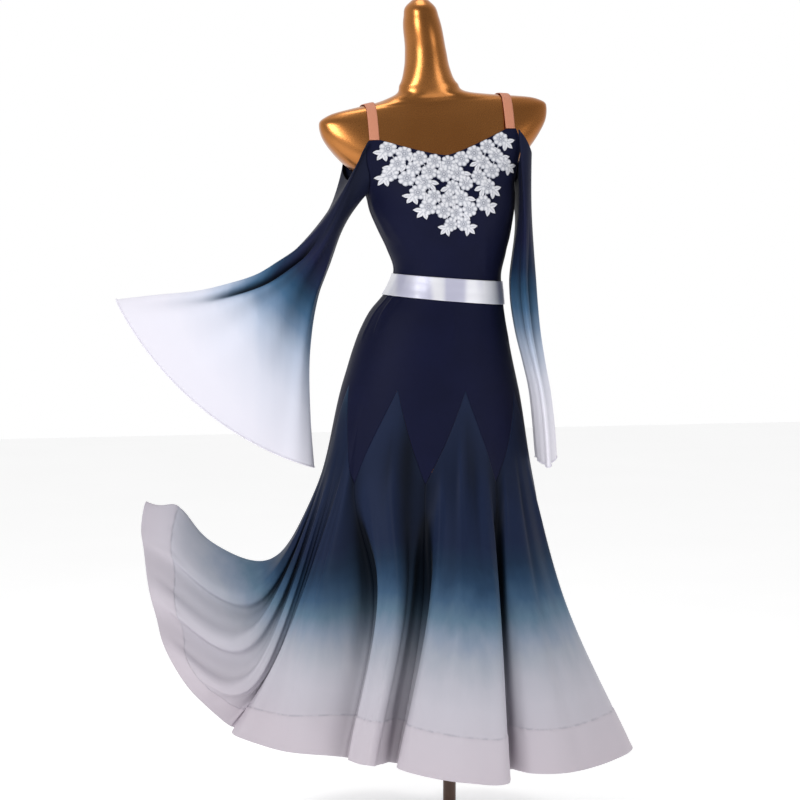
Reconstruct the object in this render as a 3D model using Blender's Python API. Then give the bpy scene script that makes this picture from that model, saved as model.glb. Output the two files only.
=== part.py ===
"""Ballroom dance dress on a limbless dress form, at real size.

The figure faces -Y and its right side is -X. The origin is on the floor under the pole. Cloth
pieces are closed walls between an outer surface, worked out from the tables below, and the same
surface moved in by the cloth's thickness.
"""
import math

import bmesh
import bpy
import numpy as np
from mathutils import Vector
from mathutils.bvhtree import BVHTree
from mathutils.geometry import delaunay_2d_cdt

# Driving sizes, in metres
CLOTH = 0.0020
SEAM = 0.0003
FORM_CLEARANCE = 0.0025
GARMENT_LIFT = FORM_CLEARANCE + CLOTH
POLE_RADIUS = 0.013
BASE_RADIUS = 0.18
BASE_HEIGHT = 0.010
BASE_CHAMFER = 0.003
FORM_BOTTOM = 0.742
FORM_TAPER = (0.84, 0.915, 0.935, 0.955, 0.975, 0.99)
WAIST_SEAM = 1.0985
BELT_BOTTOM = 1.0755
BELT_TOP = 1.1210
BELT_CLOTH = 0.0018
BELT_GAP = 0.0008
PEAK_LEVEL = 0.905
POINT_LEVEL = 0.720
HEM_BAND = 0.086
HEM_RAISE = 0.0010
STRAP_WIDTH = 0.019
STRAP_CLOTH = 0.0012
STRAP_GAP = 0.0010
SLEEVE_OVERLAP = 0.004
SLEEVE_LIFT = GARMENT_LIFT + 0.0036
SLEEVE_DEPTH = 0.0110
SLEEVE_HEAD_PLACES = (0, 0.35, 0.7)
SLEEVE_TIP_GAP = 0.8
NECK_LIFT = 0.0015
STRAP_TURN = 36.0
STRAP_HALF_TURN = 3.2
NECK_PEAK = 1.403
NECK_LOW = 1.362
BACK_NECK_LOW = 1.335
ARMPIT_LEVEL = 1.303
BODICE_LEVELS = (WAIST_SEAM + SEAM / 2, BELT_TOP, 1.152, 1.186, 1.218, 1.245, 1.272)
OFF_SHOULDER_LEVEL = 1.343
SPREAD_TURN = math.radians(14)
LACE_CLOTH = 0.0014
LACE_GAP = 0.0015
LACE_MARGIN = 0.002
LACE_APEX = 1.206
LACE_SHOULDER = 1.358
LACE_HALF_WIDTH = 0.130

# The dress form: one row a level section
# level, centre x, half width, front depth, back depth, roll in degrees, squareness
FORM = np.array([
    (0.700, -0.047, 0.216, 0.130, 0.150, 0.0, 2.0),
    (0.736, -0.046, 0.208, 0.126, 0.148, 0.0, 2.0),
    (0.788, -0.044, 0.197, 0.121, 0.145, -1.0, 2.1),
    (0.834, -0.043, 0.189, 0.118, 0.143, -1.5, 2.1),
    (0.888, -0.040, 0.178, 0.115, 0.140, -2.0, 2.1),
    (0.926, -0.038, 0.168, 0.111, 0.133, -2.5, 2.1),
    (0.968, -0.036, 0.157, 0.105, 0.121, -3.0, 2.1),
    (1.010, -0.032, 0.145, 0.098, 0.108, -3.5, 2.1),
    (1.046, -0.025, 0.132, 0.091, 0.098, -4.0, 2.1),
    (1.074, -0.015, 0.118, 0.086, 0.089, -4.5, 2.1),
    (1.100, -0.009, 0.109, 0.082, 0.083, -4.5, 2.1),
    (1.130, -0.006, 0.104, 0.080, 0.080, -4.0, 2.1),
    (1.176, -0.008, 0.116, 0.084, 0.083, -2.0, 2.1),
    (1.218, -0.012, 0.129, 0.090, 0.087, 1.0, 2.2),
    (1.262, -0.017, 0.141, 0.095, 0.091, 3.5, 2.2),
    (1.305, -0.022, 0.147, 0.090, 0.092, 5.0, 2.3),
    (1.343, -0.026, 0.168, 0.080, 0.090, 5.0, 2.4),
    (1.362, -0.028, 0.188, 0.075, 0.088, 5.0, 2.4),
    (1.388, -0.030, 0.210, 0.067, 0.083, 5.0, 2.5),
    (1.418, -0.032, 0.228, 0.057, 0.074, 5.0, 2.5),
    (1.440, -0.034, 0.232, 0.048, 0.064, 5.0, 2.5),
    (1.455, -0.035, 0.222, 0.041, 0.055, 5.0, 2.4),
    (1.464, -0.036, 0.196, 0.037, 0.050, 5.0, 2.3),
    (1.470, -0.037, 0.158, 0.035, 0.047, 5.0, 2.2),
    (1.476, -0.038, 0.116, 0.035, 0.047, 5.0, 2.1),
    (1.484, -0.041, 0.080, 0.037, 0.047, 4.0, 2.0),
    (1.505, -0.045, 0.058, 0.039, 0.046, 2.0, 2.0),
    (1.535, -0.048, 0.046, 0.040, 0.044, 0.0, 2.0),
    (1.570, -0.051, 0.041, 0.039, 0.042, 0.0, 2.0),
    (1.636, -0.060, 0.035, 0.035, 0.036, 0.0, 2.0),
    (1.658, -0.062, 0.028, 0.028, 0.028, 0.0, 2.0),
    (1.669, -0.062, 0.016, 0.016, 0.016, 0.0, 2.0),
])
# Soft bust: side offset, level, spread across, spread up, rise
BUST = (0.072, 1.256, 0.042, 0.040, 0.017)

# Skirt folds that fall straight, in the order of their turn from the front towards +X
# turn at the hip, turn at the hem, radius at the hem, height of the hem
FALLING_FOLDS = (
    (-54.0, -49.0, 0.300, 0.205),
    (-44.0, -43.2, 0.328, 0.206),
    (-31.5, -38.0, 0.345, 0.205),
    (-20.0, -32.5, 0.342, 0.204),
    (-10.0, -29.0, 0.296, 0.203),
    (-1.0, -25.0, 0.344, 0.200),
    (6.0, -15.6, 0.386, 0.195),
    (13.0, -6.0, 0.416, 0.190),
    (22.0, 4.4, 0.427, 0.187),
    (32.0, 10.0, 0.335, 0.195),
    (40.0, 15.6, 0.376, 0.190),
    (48.0, 26.0, 0.402, 0.188),
    (58.0, 45.0, 0.400, 0.188),
    (68.0, 66.0, 0.402, 0.188),
    (78.0, 79.0, 0.345, 0.190),
    (88.0, 90.0, 0.386, 0.188),
    (101.0, 101.0, 0.402, 0.186),
    (113.0, 113.0, 0.396, 0.187),
    (124.0, 123.0, 0.335, 0.190),
    (134.0, 133.0, 0.384, 0.188),
    (147.0, 146.0, 0.402, 0.186),
    (158.0, 158.0, 0.392, 0.187),
    (170.0, 168.0, 0.328, 0.190),
    (180.0, 178.0, 0.384, 0.188),
    (192.0, 190.0, 0.404, 0.188),
    (203.0, 202.0, 0.392, 0.190),
    (213.0, 211.0, 0.345, 0.195),
)
# Folds of the train, spread to the side in a plane turned from the figure's own:
# turn at the hip, pleat at the thigh, then side, outward and height of the belly and of the hem
TRAIN_FOLDS = (
    (219.0, 0.002, -0.270, -0.200, 0.470, -0.345, -0.290, 0.215),
    (225.0, 0.003, -0.310, -0.180, 0.460, -0.440, -0.250, 0.285),
    (232.0, 0.003, -0.340, -0.150, 0.470, -0.520, -0.190, 0.400),
    (237.0, 0.003, -0.355, -0.110, 0.500, -0.575, -0.120, 0.530),
    (249.0, 0.003, -0.360, -0.060, 0.535, -0.605, -0.055, 0.630),
    (260.0, 0.003, -0.362, -0.015, 0.552, -0.612, -0.015, 0.668),
    (265.0, 0.003, -0.385, 0.052, 0.505, -0.618, 0.022, 0.622),
    (269.0, 0.001, -0.376, 0.046, 0.468, -0.611, 0.040, 0.575),
    (273.0, 0.002, -0.390, 0.088, 0.426, -0.600, 0.072, 0.512),
    (277.5, 0.001, -0.376, 0.074, 0.392, -0.585, 0.070, 0.450),
    (283.0, 0.002, -0.384, 0.102, 0.350, -0.566, 0.092, 0.390),
    (286.5, 0.000, -0.356, 0.092, 0.352, -0.520, 0.080, 0.308),
    (289.5, 0.000, -0.338, 0.088, 0.384, -0.456, 0.050, 0.238),
    (292.5, 0.000, -0.316, 0.096, 0.420, -0.432, 0.042, 0.221),
    (295.5, 0.001, -0.306, 0.120, 0.456, -0.432, 0.066, 0.212),
    (299.0, 0.003, -0.292, 0.140, 0.470, -0.382, 0.150, 0.210),
    (302.5, 0.001, -0.255, 0.165, 0.485, -0.312, 0.235, 0.210),
)
# Rows of the joined table where one godet is sewn to the next, and each godet's peak at the hip
SEAM_TURNS = (-54.0, -10.0, 32.0, 78.0, 124.0, 170.0, 213.0, 260.0)
PEAK_TURNS = (-31.5, 13.0, 58.0, 101.0, 147.0, 192.0, 237.0, 283.0)
SKIRT_CENTRE = np.array((-0.035, 0.0, 0.0))
BELLY_SHARE = 0.60
BELLY_EXTRA = 0.018
BELLY_RISE = 0.310
BELLY_TURN_SHARE = 0.55
THIGH_PLEAT_SHARE = 0.12
MEAN_HEM_RADIUS = 0.37
# Places along the cloth: just above the peaks, at the peaks, the thigh, the belly and the hem
STATIONS = np.array((-0.078, 0.0, 0.247, 0.558, 1.0))
SKIRT_LENGTH = 0.77

# Sleeve rings below the first: upper edge side and height, lower edge side and height,
# outward place, half depth, then how far the front and back hang down and shift sideways
SWEPT_SLEEVE = (
    (-0.2300, 1.270, -0.2030, 1.250, 0.045, 0.066, 0.000, 0.000),
    (-0.2620, 1.224, -0.2180, 1.208, 0.047, 0.060, 0.000, 0.000),
    (-0.2990, 1.183, -0.2330, 1.168, 0.050, 0.054, 0.000, 0.000),
    (-0.3400, 1.153, -0.2480, 1.126, 0.052, 0.050, 0.000, 0.000),
    (-0.3860, 1.125, -0.2620, 1.082, 0.054, 0.049, 0.000, 0.000),
    (-0.4520, 1.105, -0.2730, 1.022, 0.056, 0.052, 0.000, 0.000),
    (-0.5080, 1.094, -0.2790, 0.946, 0.058, 0.056, -0.006, -0.004),
    (-0.5820, 1.088, -0.2770, 0.846, 0.060, 0.062, -0.018, -0.014),
    (-0.6600, 1.080, -0.2700, 0.748, 0.062, 0.068, -0.038, -0.030),
)
HANGING_SLEEVE = (
    (0.1610, 1.276, 0.1380, 1.262, -0.032, 0.070, 0.000, 0.000),
    (0.1640, 1.216, 0.1310, 1.208, 0.000, 0.066, 0.000, 0.000),
    (0.1660, 1.156, 0.1220, 1.152, 0.012, 0.064, 0.000, 0.000),
    (0.1700, 1.086, 0.1220, 1.084, 0.020, 0.066, 0.000, 0.000),
    (0.1760, 1.016, 0.1320, 1.018, 0.026, 0.072, 0.000, 0.000),
    (0.1860, 0.950, 0.1480, 0.954, 0.030, 0.080, 0.000, 0.000),
    (0.1960, 0.894, 0.1600, 0.902, 0.032, 0.088, 0.000, 0.000),
    (0.2040, 0.826, 0.1680, 0.836, 0.034, 0.096, 0.000, 0.000),
    (0.2080, 0.770, 0.1740, 0.764, 0.036, 0.100, -0.012, 0.000),
)
SLEEVE_RING_COLUMNS = 24

# Colours of the pieces: red, green, blue, roughness, metallic
NAVY = (0.020, 0.025, 0.080, 0.60, 0.0)
PALE = (0.62, 0.60, 0.70, 0.55, 0.0)
BLUE = (0.10, 0.17, 0.33, 0.55, 0.0)
SATIN = (0.70, 0.68, 0.78, 0.30, 0.0)
SKIN = (0.62, 0.27, 0.16, 0.50, 0.0)
WHITE = (0.85, 0.85, 0.88, 0.80, 0.0)
GOLD = (0.72, 0.38, 0.08, 0.25, 1.0)
BROWN = (0.12, 0.06, 0.035, 0.35, 0.6)


def finish(name, colour):
    """A Principled material in one colour."""
    material = bpy.data.materials.new(name)
    material.use_nodes = True
    shader = material.node_tree.nodes["Principled BSDF"]
    shader.inputs["Base Color"].default_value = (*colour[:3], 1.0)
    shader.inputs["Roughness"].default_value = colour[3]
    shader.inputs["Metallic"].default_value = colour[4]
    return material


def add_solid(name, points, faces, material, flat=False):
    """One closed solid from its points and faces, with the faces turned outwards."""
    mesh = bpy.data.meshes.new(name)
    mesh.from_pydata([tuple(point) for point in points], [], faces)
    work = bmesh.new()
    work.from_mesh(mesh)
    bmesh.ops.recalc_face_normals(work, faces=work.faces)
    work.to_mesh(mesh)
    work.free()
    mesh.materials.append(material)
    if not flat:
        mesh.shade_smooth()
        mesh.set_sharp_from_angle(angle=math.radians(50))
    piece = bpy.data.objects.new(name, mesh)
    bpy.context.collection.objects.link(piece)
    return piece


def curve(knots, values, at, calm=True):
    """Cubic curve through rows of values; a calm one is level at its high and low points."""
    knots = np.asarray(knots, float)
    values = np.asarray(values, float)
    at = np.clip(np.asarray(at, float), knots[0], knots[-1])
    step = np.diff(knots)[:, None]
    rise = np.diff(values, axis=0) / step
    slope = np.empty_like(values)
    slope[0] = rise[0]
    slope[-1] = rise[-1]
    slope[1:-1] = (step[1:] * rise[:-1] + step[:-1] * rise[1:]) / (step[1:] + step[:-1])
    if calm:
        slope[1:-1][rise[:-1] * rise[1:] <= 0] = 0
    low = np.clip(np.searchsorted(knots, at, side="right") - 1, 0, len(knots) - 2)
    span = step[low]
    share = ((at - knots[low]) / span[..., 0])[..., None]
    return hermite(values[low], values[low + 1], slope[low] * span, slope[low + 1] * span, share)


def hermite(start, end, start_slope, end_slope, share):
    """Cubic blend between two values with given slopes."""
    square = share * share
    cube = square * share
    return (start * (2 * cube - 3 * square + 1) + start_slope * (cube - 2 * square + share)
            + end * (3 * square - 2 * cube) + end_slope * (cube - square))


def form_point(turn, level):
    """A point of the form's skin: turn in degrees from the front towards +X, and level."""
    turn, level = np.broadcast_arrays(np.asarray(turn, float), np.asarray(level, float))
    row = curve(FORM[:, 0], FORM[:, 1:], level)
    centre, width, front, back, roll, square = np.moveaxis(row, -1, 0)
    across = np.sin(np.radians(turn))
    ahead = np.cos(np.radians(turn))
    scale = (np.abs(across) ** square + np.abs(ahead) ** square) ** (-1 / square)
    x = width * across * scale
    y = -np.where(ahead > 0, front, back) * ahead * scale
    side, height, spread, tall, rise = BUST
    mound = np.exp(-((level - height) / tall) ** 2 / 2)
    mound = mound * np.exp(-((np.abs(x) - side) / spread) ** 2 / 2)
    y = y - rise * mound * np.clip(ahead, 0, 1)
    z = level + np.tan(np.radians(roll)) * x
    return np.stack([x + centre, y, z], axis=-1)


def unit(vectors):
    """Vectors scaled to length one."""
    return vectors / np.linalg.norm(vectors, axis=-1, keepdims=True)


def garment(turn, level, lift=GARMENT_LIFT):
    """A point at a lift above the form's skin."""
    turn, level = np.broadcast_arrays(np.asarray(turn, float), np.asarray(level, float))
    along = form_point(turn + 0.5, level) - form_point(turn - 0.5, level)
    up = form_point(turn, level + 0.001) - form_point(turn, level - 0.001)
    return form_point(turn, level) + unit(np.cross(along, up)) * np.asarray(lift)[..., None]


def spread(side, outward, height):
    """A point of the turned plane in which the train and the sleeves are spread."""
    side, outward, height = np.broadcast_arrays(side, outward, height)
    x = side * math.cos(SPREAD_TURN) - outward * math.sin(SPREAD_TURN)
    y = -side * math.sin(SPREAD_TURN) - outward * math.cos(SPREAD_TURN)
    return np.stack([x, y, height], axis=-1)


def round_point(turn, radius, height):
    """A point at a turn and radius about the skirt's centre."""
    turn = np.radians(turn)
    return SKIRT_CENTRE + np.stack([radius * np.sin(turn), -radius * np.cos(turn), height], axis=-1)


def fold_rows():
    """Hip turn, thigh pleat, belly point and hem point of every fold, in order round the skirt."""
    hips, pleats, bellies, hems = [], [], [], []
    for hip, hem_turn, radius, height in FALLING_FOLDS:
        hips.append(hip)
        pleats.append(THIGH_PLEAT_SHARE * (radius - MEAN_HEM_RADIUS))
        turn = hip + BELLY_TURN_SHARE * (hem_turn - hip)
        bellies.append(round_point(turn, BELLY_SHARE * radius + BELLY_EXTRA, height + BELLY_RISE))
        hems.append(round_point(hem_turn, radius, height))
    for hip, pleat, side, outward, height, hem_side, hem_outward, hem_height in TRAIN_FOLDS:
        hips.append(hip)
        pleats.append(pleat)
        bellies.append(spread(side, outward, height))
        hems.append(spread(hem_side, hem_outward, hem_height))
    return np.array(hips), np.array(pleats), np.array(bellies), np.array(hems)


HIPS, PLEATS, BELLIES, HEMS = fold_rows()
FOLDS = len(HIPS)
WRAP = 3


def around(rows, turn=0.0):
    """Rows repeated past both ends, so that a curve through them closes."""
    return np.concatenate([rows[-WRAP:] - turn, rows, rows[:WRAP] + turn])


FOLD_KNOTS = np.arange(-WRAP, FOLDS + WRAP)


def hip_turn(fold):
    """The turn at the hip of a place in the table of folds."""
    return curve(FOLD_KNOTS, around(HIPS, 360.0)[:, None], fold)[..., 0]


def skirt_point(fold, along):
    """Outer face of the skirt: place in the table of folds, and share of the way to the hem."""
    fold, along = np.broadcast_arrays(np.asarray(fold, float), np.asarray(along, float))
    turn = hip_turn(fold)
    pleat = curve(FOLD_KNOTS, around(PLEATS)[:, None], fold, calm=False)
    outward = np.stack([np.sin(np.radians(turn)), -np.cos(np.radians(turn)), 0 * turn], axis=-1)
    above = PEAK_LEVEL - STATIONS[0] * SKIRT_LENGTH
    points = np.stack([
        garment(turn, above),
        garment(turn, PEAK_LEVEL),
        garment(turn, POINT_LEVEL) + pleat * outward,
        curve(FOLD_KNOTS, around(BELLIES), fold, calm=False),
        curve(FOLD_KNOTS, around(HEMS), fold, calm=False),
    ], axis=-2)
    step = np.diff(STATIONS)[:, None]
    rise = np.diff(points, axis=-2) / step
    inner = (step[1:] * rise[..., :-1, :] + step[:-1] * rise[..., 1:, :]) / (step[1:] + step[:-1])
    slope = np.concatenate([rise[..., :1, :], inner, rise[..., -1:, :]], axis=-2)
    low = np.clip(np.searchsorted(STATIONS, along, side="right") - 1, 0, len(STATIONS) - 2)
    pick = low[..., None, None]
    start = np.take_along_axis(points, pick, axis=-2)[..., 0, :]
    end = np.take_along_axis(points, pick + 1, axis=-2)[..., 0, :]
    start_slope = np.take_along_axis(slope, pick, axis=-2)[..., 0, :]
    end_slope = np.take_along_axis(slope, pick + 1, axis=-2)[..., 0, :]
    span = step[low]
    share = (along[..., None] - STATIONS[low][..., None]) / span
    return hermite(start, end, start_slope * span, end_slope * span, share)


def skirt_normal(fold, along):
    """Outward direction of the skirt's cloth."""
    across = skirt_point(fold + 0.04, along) - skirt_point(fold - 0.04, along)
    down = skirt_point(fold, along + 0.004) - skirt_point(fold, along - 0.004)
    return unit(np.cross(down, across))


def level_to_along(level):
    """Share of the way to the hem at a level between the godets' peaks and the yoke's points."""
    return (PEAK_LEVEL - level) / (PEAK_LEVEL - POINT_LEVEL) * STATIONS[2]


def zigzag(turn):
    """Level of the yoke's lower edge at a turn: high at a godet's peak, low at the yoke's point."""
    turns = np.array(SEAM_TURNS + PEAK_TURNS)
    levels = np.array([POINT_LEVEL] * len(SEAM_TURNS) + [PEAK_LEVEL] * len(PEAK_TURNS))
    order = np.argsort(turns)
    turns = turns[order]
    levels = levels[order]
    turns = np.concatenate([turns - 360, turns, turns + 360])
    return np.interp(turn, turns, np.tile(levels, 3))


def wall(name, outer, inner, closed, material):
    """A cloth wall between two grids of points, rows by columns, as one closed solid."""
    rows, columns = outer.shape[:2]
    face_grid = np.arange(rows * columns).reshape(rows, columns)
    if closed:
        face_grid = np.concatenate([face_grid, face_grid[:, :1]], axis=1)
    back_grid = face_grid + rows * columns
    front = np.stack([face_grid[:-1, :-1], face_grid[1:, :-1], face_grid[1:, 1:],
                      face_grid[:-1, 1:]], axis=-1)
    back = np.stack([back_grid[:-1, :-1], back_grid[:-1, 1:], back_grid[1:, 1:],
                     back_grid[1:, :-1]], axis=-1)
    faces = front.reshape(-1, 4).tolist() + back.reshape(-1, 4).tolist()
    rims = [(face_grid[0], back_grid[0]), (face_grid[-1], back_grid[-1])]
    if not closed:
        rims += [(face_grid[:, 0], back_grid[:, 0]), (face_grid[:, -1], back_grid[:, -1])]
    for near, far in rims:
        faces += np.stack([near[:-1], near[1:], far[1:], far[:-1]], axis=-1).tolist()
    points = np.concatenate([outer.reshape(-1, 3), inner.reshape(-1, 3)])
    return add_solid(name, points, faces, material)


def rings_solid(name, rings, material):
    """A solid through a stack of closed rings, with flat ends."""
    rows, columns = rings.shape[:2]
    grid = np.arange(rows * columns).reshape(rows, columns)
    grid = np.concatenate([grid, grid[:, :1]], axis=1)
    sides = np.stack([grid[:-1, :-1], grid[:-1, 1:], grid[1:, 1:], grid[1:, :-1]], axis=-1)
    faces = sides.reshape(-1, 4).tolist()
    faces.append(grid[0, :-1].tolist())
    faces.append(grid[-1, :-1].tolist())
    return add_solid(name, rings.reshape(-1, 3), faces, material)


def make_form():
    """The torso, its pole and its round base."""
    gold = finish("gold form", GOLD)
    turns = np.arange(0, 360, 12.0)
    levels = np.concatenate([[FORM_BOTTOM, FORM_BOTTOM + 0.012], FORM[2:, 0]])
    shrink = np.ones(len(levels))
    shrink[:len(FORM_TAPER)] = FORM_TAPER
    rings = form_point(turns[None, :], levels[:, None])
    middle = rings.mean(axis=1, keepdims=True)
    rings[..., :2] = (middle + (rings - middle) * shrink[:, None, None])[..., :2]
    rings[0, :, 2] = FORM_BOTTOM
    torso = rings_solid("form_torso", rings, gold)
    brown = finish("brown stand", BROWN)
    circle = np.radians(np.arange(0, 360, 15.0))
    def disc(radius, height):
        return np.stack([radius * np.sin(circle), -radius * np.cos(circle),
                         np.full_like(circle, height)], axis=-1)
    pole = np.stack([disc(POLE_RADIUS, BASE_HEIGHT + SEAM), disc(POLE_RADIUS, FORM_BOTTOM - SEAM)])
    rings_solid("form_pole", pole, brown)
    base = np.stack([
        disc(BASE_RADIUS - BASE_CHAMFER, 0.0), disc(BASE_RADIUS, BASE_CHAMFER),
        disc(BASE_RADIUS, BASE_HEIGHT - BASE_CHAMFER), disc(BASE_RADIUS - BASE_CHAMFER, BASE_HEIGHT),
    ])
    rings_solid("form_base", base, brown)
    return torso


def bodice_top(turn):
    """Level of the bodice's upper edge: neckline, flat strap peaks and armholes."""
    away = np.abs((np.asarray(turn, float) + 180) % 360 - 180)
    ahead = np.minimum(away, 180 - away)
    low = np.where(away > 90, BACK_NECK_LOW, NECK_LOW)
    inside = STRAP_TURN - STRAP_HALF_TURN
    outside = STRAP_TURN + STRAP_HALF_TURN
    neck = low + (NECK_PEAK - low) * (np.clip(ahead / inside, 0, 1)) ** 1.4
    share = np.clip((90 - ahead) / (90 - outside), 0, 1)
    armhole = NECK_PEAK - (NECK_PEAK - ARMPIT_LEVEL) * (1 - share ** 2)
    return np.where(ahead < inside, neck, np.where(ahead > outside, armhole, NECK_PEAK))


def make_bodice():
    """Front and back of the bodice, from the waist seam to the neckline."""
    navy = finish("navy stretch", NAVY)
    made = {}
    for name, start in (("bodice_front", -90.0), ("bodice_back", 90.0)):
        inside = STRAP_TURN - STRAP_HALF_TURN
        outside = STRAP_TURN + STRAP_HALF_TURN
        half = np.concatenate([np.linspace(0, inside, 7)[1:], [STRAP_TURN, outside],
                               np.linspace(outside, 89.94, 9)[1:]])
        turns = start + 90 + np.concatenate([-half[::-1], [0.0], half])
        top = bodice_top(turns)
        low = np.array(BODICE_LEVELS)[:, None] + 0 * top
        levels = np.concatenate([low, [(low[-1] + top) / 2, top]])
        outer = garment(turns[None, :], levels)
        inner = garment(turns[None, :], levels, FORM_CLEARANCE)
        made[name] = wall(name, outer, inner, False, navy)
    return made["bodice_front"]


def make_belt():
    """The satin belt over the waist seam."""
    satin = finish("silver satin", SATIN)
    turns = np.arange(0, 360, 7.5)
    levels = np.array([BELT_BOTTOM, WAIST_SEAM, BELT_TOP])[:, None]
    inside = GARMENT_LIFT + BELT_GAP
    outer = garment(turns[None, :], levels, inside + BELT_CLOTH)
    wall("belt", outer, garment(turns[None, :], levels, inside), True, satin)


FINE = 2
HALF_SEAM_FOLD = 0.012
YOKE_LEVELS = (WAIST_SEAM - SEAM / 2, BELT_BOTTOM, 1.046, 1.005, 0.955, PEAK_LEVEL)
EDGE_ALLOWANCE = 0.0004


def seam_folds():
    """Place in the table of folds of each seam between godets."""
    gaps = np.abs((HIPS[None, :] - np.array(SEAM_TURNS)[:, None] + 180) % 360 - 180)
    return np.argmin(gaps, axis=1).tolist()


def make_yoke():
    """Front and back of the hip yoke, with the zigzag lower edge."""
    navy = finish("navy yoke", NAVY)
    places = seam_folds()
    right = places[SEAM_TURNS.index(260.0)]
    left = places[SEAM_TURNS.index(78.0)]
    for name, start, end in (("yoke_front", right - FOLDS, left), ("yoke_back", left, right)):
        columns = np.linspace(start, end, (end - start) * FINE + 1)
        columns[0] += HALF_SEAM_FOLD
        columns[-1] -= HALF_SEAM_FOLD
        turns = hip_turn_wide(columns)
        outer = [garment(turns, level) for level in YOKE_LEVELS]
        inner = [garment(turns, level, FORM_CLEARANCE) for level in YOKE_LEVELS]
        for share in (0.5, 1.0):
            level = PEAK_LEVEL + (zigzag(turns) - PEAK_LEVEL) * share
            along = level_to_along(level) + EDGE_ALLOWANCE
            face = skirt_point(columns % FOLDS, along)
            outer.append(face)
            inner.append(face - skirt_normal(columns % FOLDS, along) * CLOTH)
        wall(name, np.array(outer), np.array(inner), False, navy)


def hip_turn_wide(fold):
    """The hip turn of a place that may be a whole round before or after the table."""
    fold = np.asarray(fold, float)
    whole = np.floor(fold / FOLDS)
    return hip_turn(fold - whole * FOLDS) + 360.0 * whole


def make_godets():
    """The eight godets, each from its peak and the yoke's points down to the hem."""
    pale = finish("shaded godet", BLUE)
    places = seam_folds()
    band = 1 - HEM_BAND / SKIRT_LENGTH
    lower = np.array([STATIONS[2] + 0.10, 0.45, STATIONS[3], 0.66, 0.77, band - 0.004, band + 0.004,
                      0.5 + band / 2, 1.0])
    for number, start in enumerate(places):
        end = places[(number + 1) % len(places)]
        if end <= start:
            end += FOLDS
        columns = np.linspace(start, end, (end - start) * FINE + 1)
        columns[0] += HALF_SEAM_FOLD
        columns[-1] -= HALF_SEAM_FOLD
        top = level_to_along(zigzag(hip_turn_wide(columns))) + EDGE_ALLOWANCE + 2 * SEAM / SKIRT_LENGTH
        rows = [top, top + (lower[0] - top) * 0.5] + [np.full_like(top, value) for value in lower]
        along = np.array(rows)
        folds = np.broadcast_to(columns[None, :] % FOLDS, along.shape)
        face = skirt_point(folds, along)
        normal = skirt_normal(folds, along)
        raised = face + normal * np.where(along > band, HEM_RAISE, 0.0)[..., None]
        wall(f"godet_{number + 1}", raised, face - normal * CLOTH, False, pale)


def outer_half(ring):
    """One on the sleeve's outer half, nought on the half at the body, halfway at its two tips."""
    return (1 + np.tanh(4 * np.cos(ring))) / 2


def first_sleeve_place(hand, ring):
    """Turn and level of the sleeve's upper edge: along the armhole inside, off the shoulder outside."""
    swing = 90 - STRAP_TURN - STRAP_HALF_TURN - SLEEVE_TIP_GAP
    turns = hand * (90 - swing * np.sin(ring))
    side = np.where(np.cos(ring) > 0, OFF_SHOULDER_LEVEL, ARMPIT_LEVEL - SLEEVE_OVERLAP)
    top = NECK_PEAK - SLEEVE_OVERLAP
    slant = np.where(np.cos(ring) > 0, np.cos(ring) ** 3, np.cos(ring) ** 2)
    return turns, top - (top - side) * slant


def first_sleeve_ring(hand, ring):
    """Points of the sleeve's upper edge."""
    turns, levels = first_sleeve_place(hand, ring)
    return garment(turns, levels, SLEEVE_LIFT + SLEEVE_DEPTH * outer_half(ring))


def sleeve_point(table, hand, ring, place):
    """A point of a sleeve: angle round the tube, and place down the table of rings."""
    rows = np.array(table)
    ring, place = np.broadcast_arrays(ring, place)
    row = curve(np.arange(1, len(rows) + 1), rows, np.clip(place, 1, len(rows)), calm=False)
    up_side, up, low_side, low, outward, depth, drop, shift = np.moveaxis(row, -1, 0)
    middle = (up_side + low_side) / 2 + (up_side - low_side) / 2 * np.cos(ring)
    height = (up + low) / 2 + (up - low) / 2 * np.cos(ring)
    bow = np.sin(ring) ** 2
    point = spread(middle + shift * bow, outward + depth * np.sin(ring), height + drop * bow)
    share = np.clip(1 - place, 0, 1)[..., None]
    share = share * share * (3 - 2 * share)
    return point * (1 - share) + first_sleeve_ring(hand, ring) * share


def clear_of_skin(points, lift, tree):
    """Points moved out where they are nearer to the form's skin than their lift."""
    moved = points.reshape(-1, 3).copy()
    for number, least in enumerate(lift.reshape(-1)):
        point = Vector(moved[number].tolist())
        near, away, _, _ = tree.find_nearest(point)
        if (point - near).dot(away) < least:
            moved[number] = near + away * least
    return moved.reshape(points.shape)


def tube_normals(points):
    """Directions square to a tube's surface, from its grid of rings."""
    beside = np.roll(points, -1, axis=1)
    face = np.cross(beside[1:] - points[:-1], points[1:] - beside[:-1])
    total = np.zeros_like(points)
    total[:-1] += face
    total[1:] += face
    return unit(total + np.roll(total, 1, axis=1))


def make_sleeves(tree):
    """The swept-out sleeve and the hanging sleeve, hollow tubes open at both ends."""
    pale = finish("shaded sleeve", PALE)
    ring = np.radians(np.arange(SLEEVE_RING_COLUMNS) * 360 / SLEEVE_RING_COLUMNS)[None, :]
    for name, table, hand in (("sleeve_right", SWEPT_SLEEVE, -1), ("sleeve_left", HANGING_SLEEVE, 1)):
        place = np.concatenate([SLEEVE_HEAD_PLACES, np.arange(1, len(table) + 1)])[:, None]
        lift = SLEEVE_LIFT + SLEEVE_DEPTH * outer_half(ring + 0 * place)
        outer = clear_of_skin(sleeve_point(table, hand, ring, place), lift, tree)
        wall(name, outer, outer - tube_normals(outer) * hand * CLOTH, True, pale)


def surface_of(piece):
    """A piece's faces, to be measured from."""
    return BVHTree.FromPolygons([vertex.co for vertex in piece.data.vertices],
                                [list(face.vertices) for face in piece.data.polygons])


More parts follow.
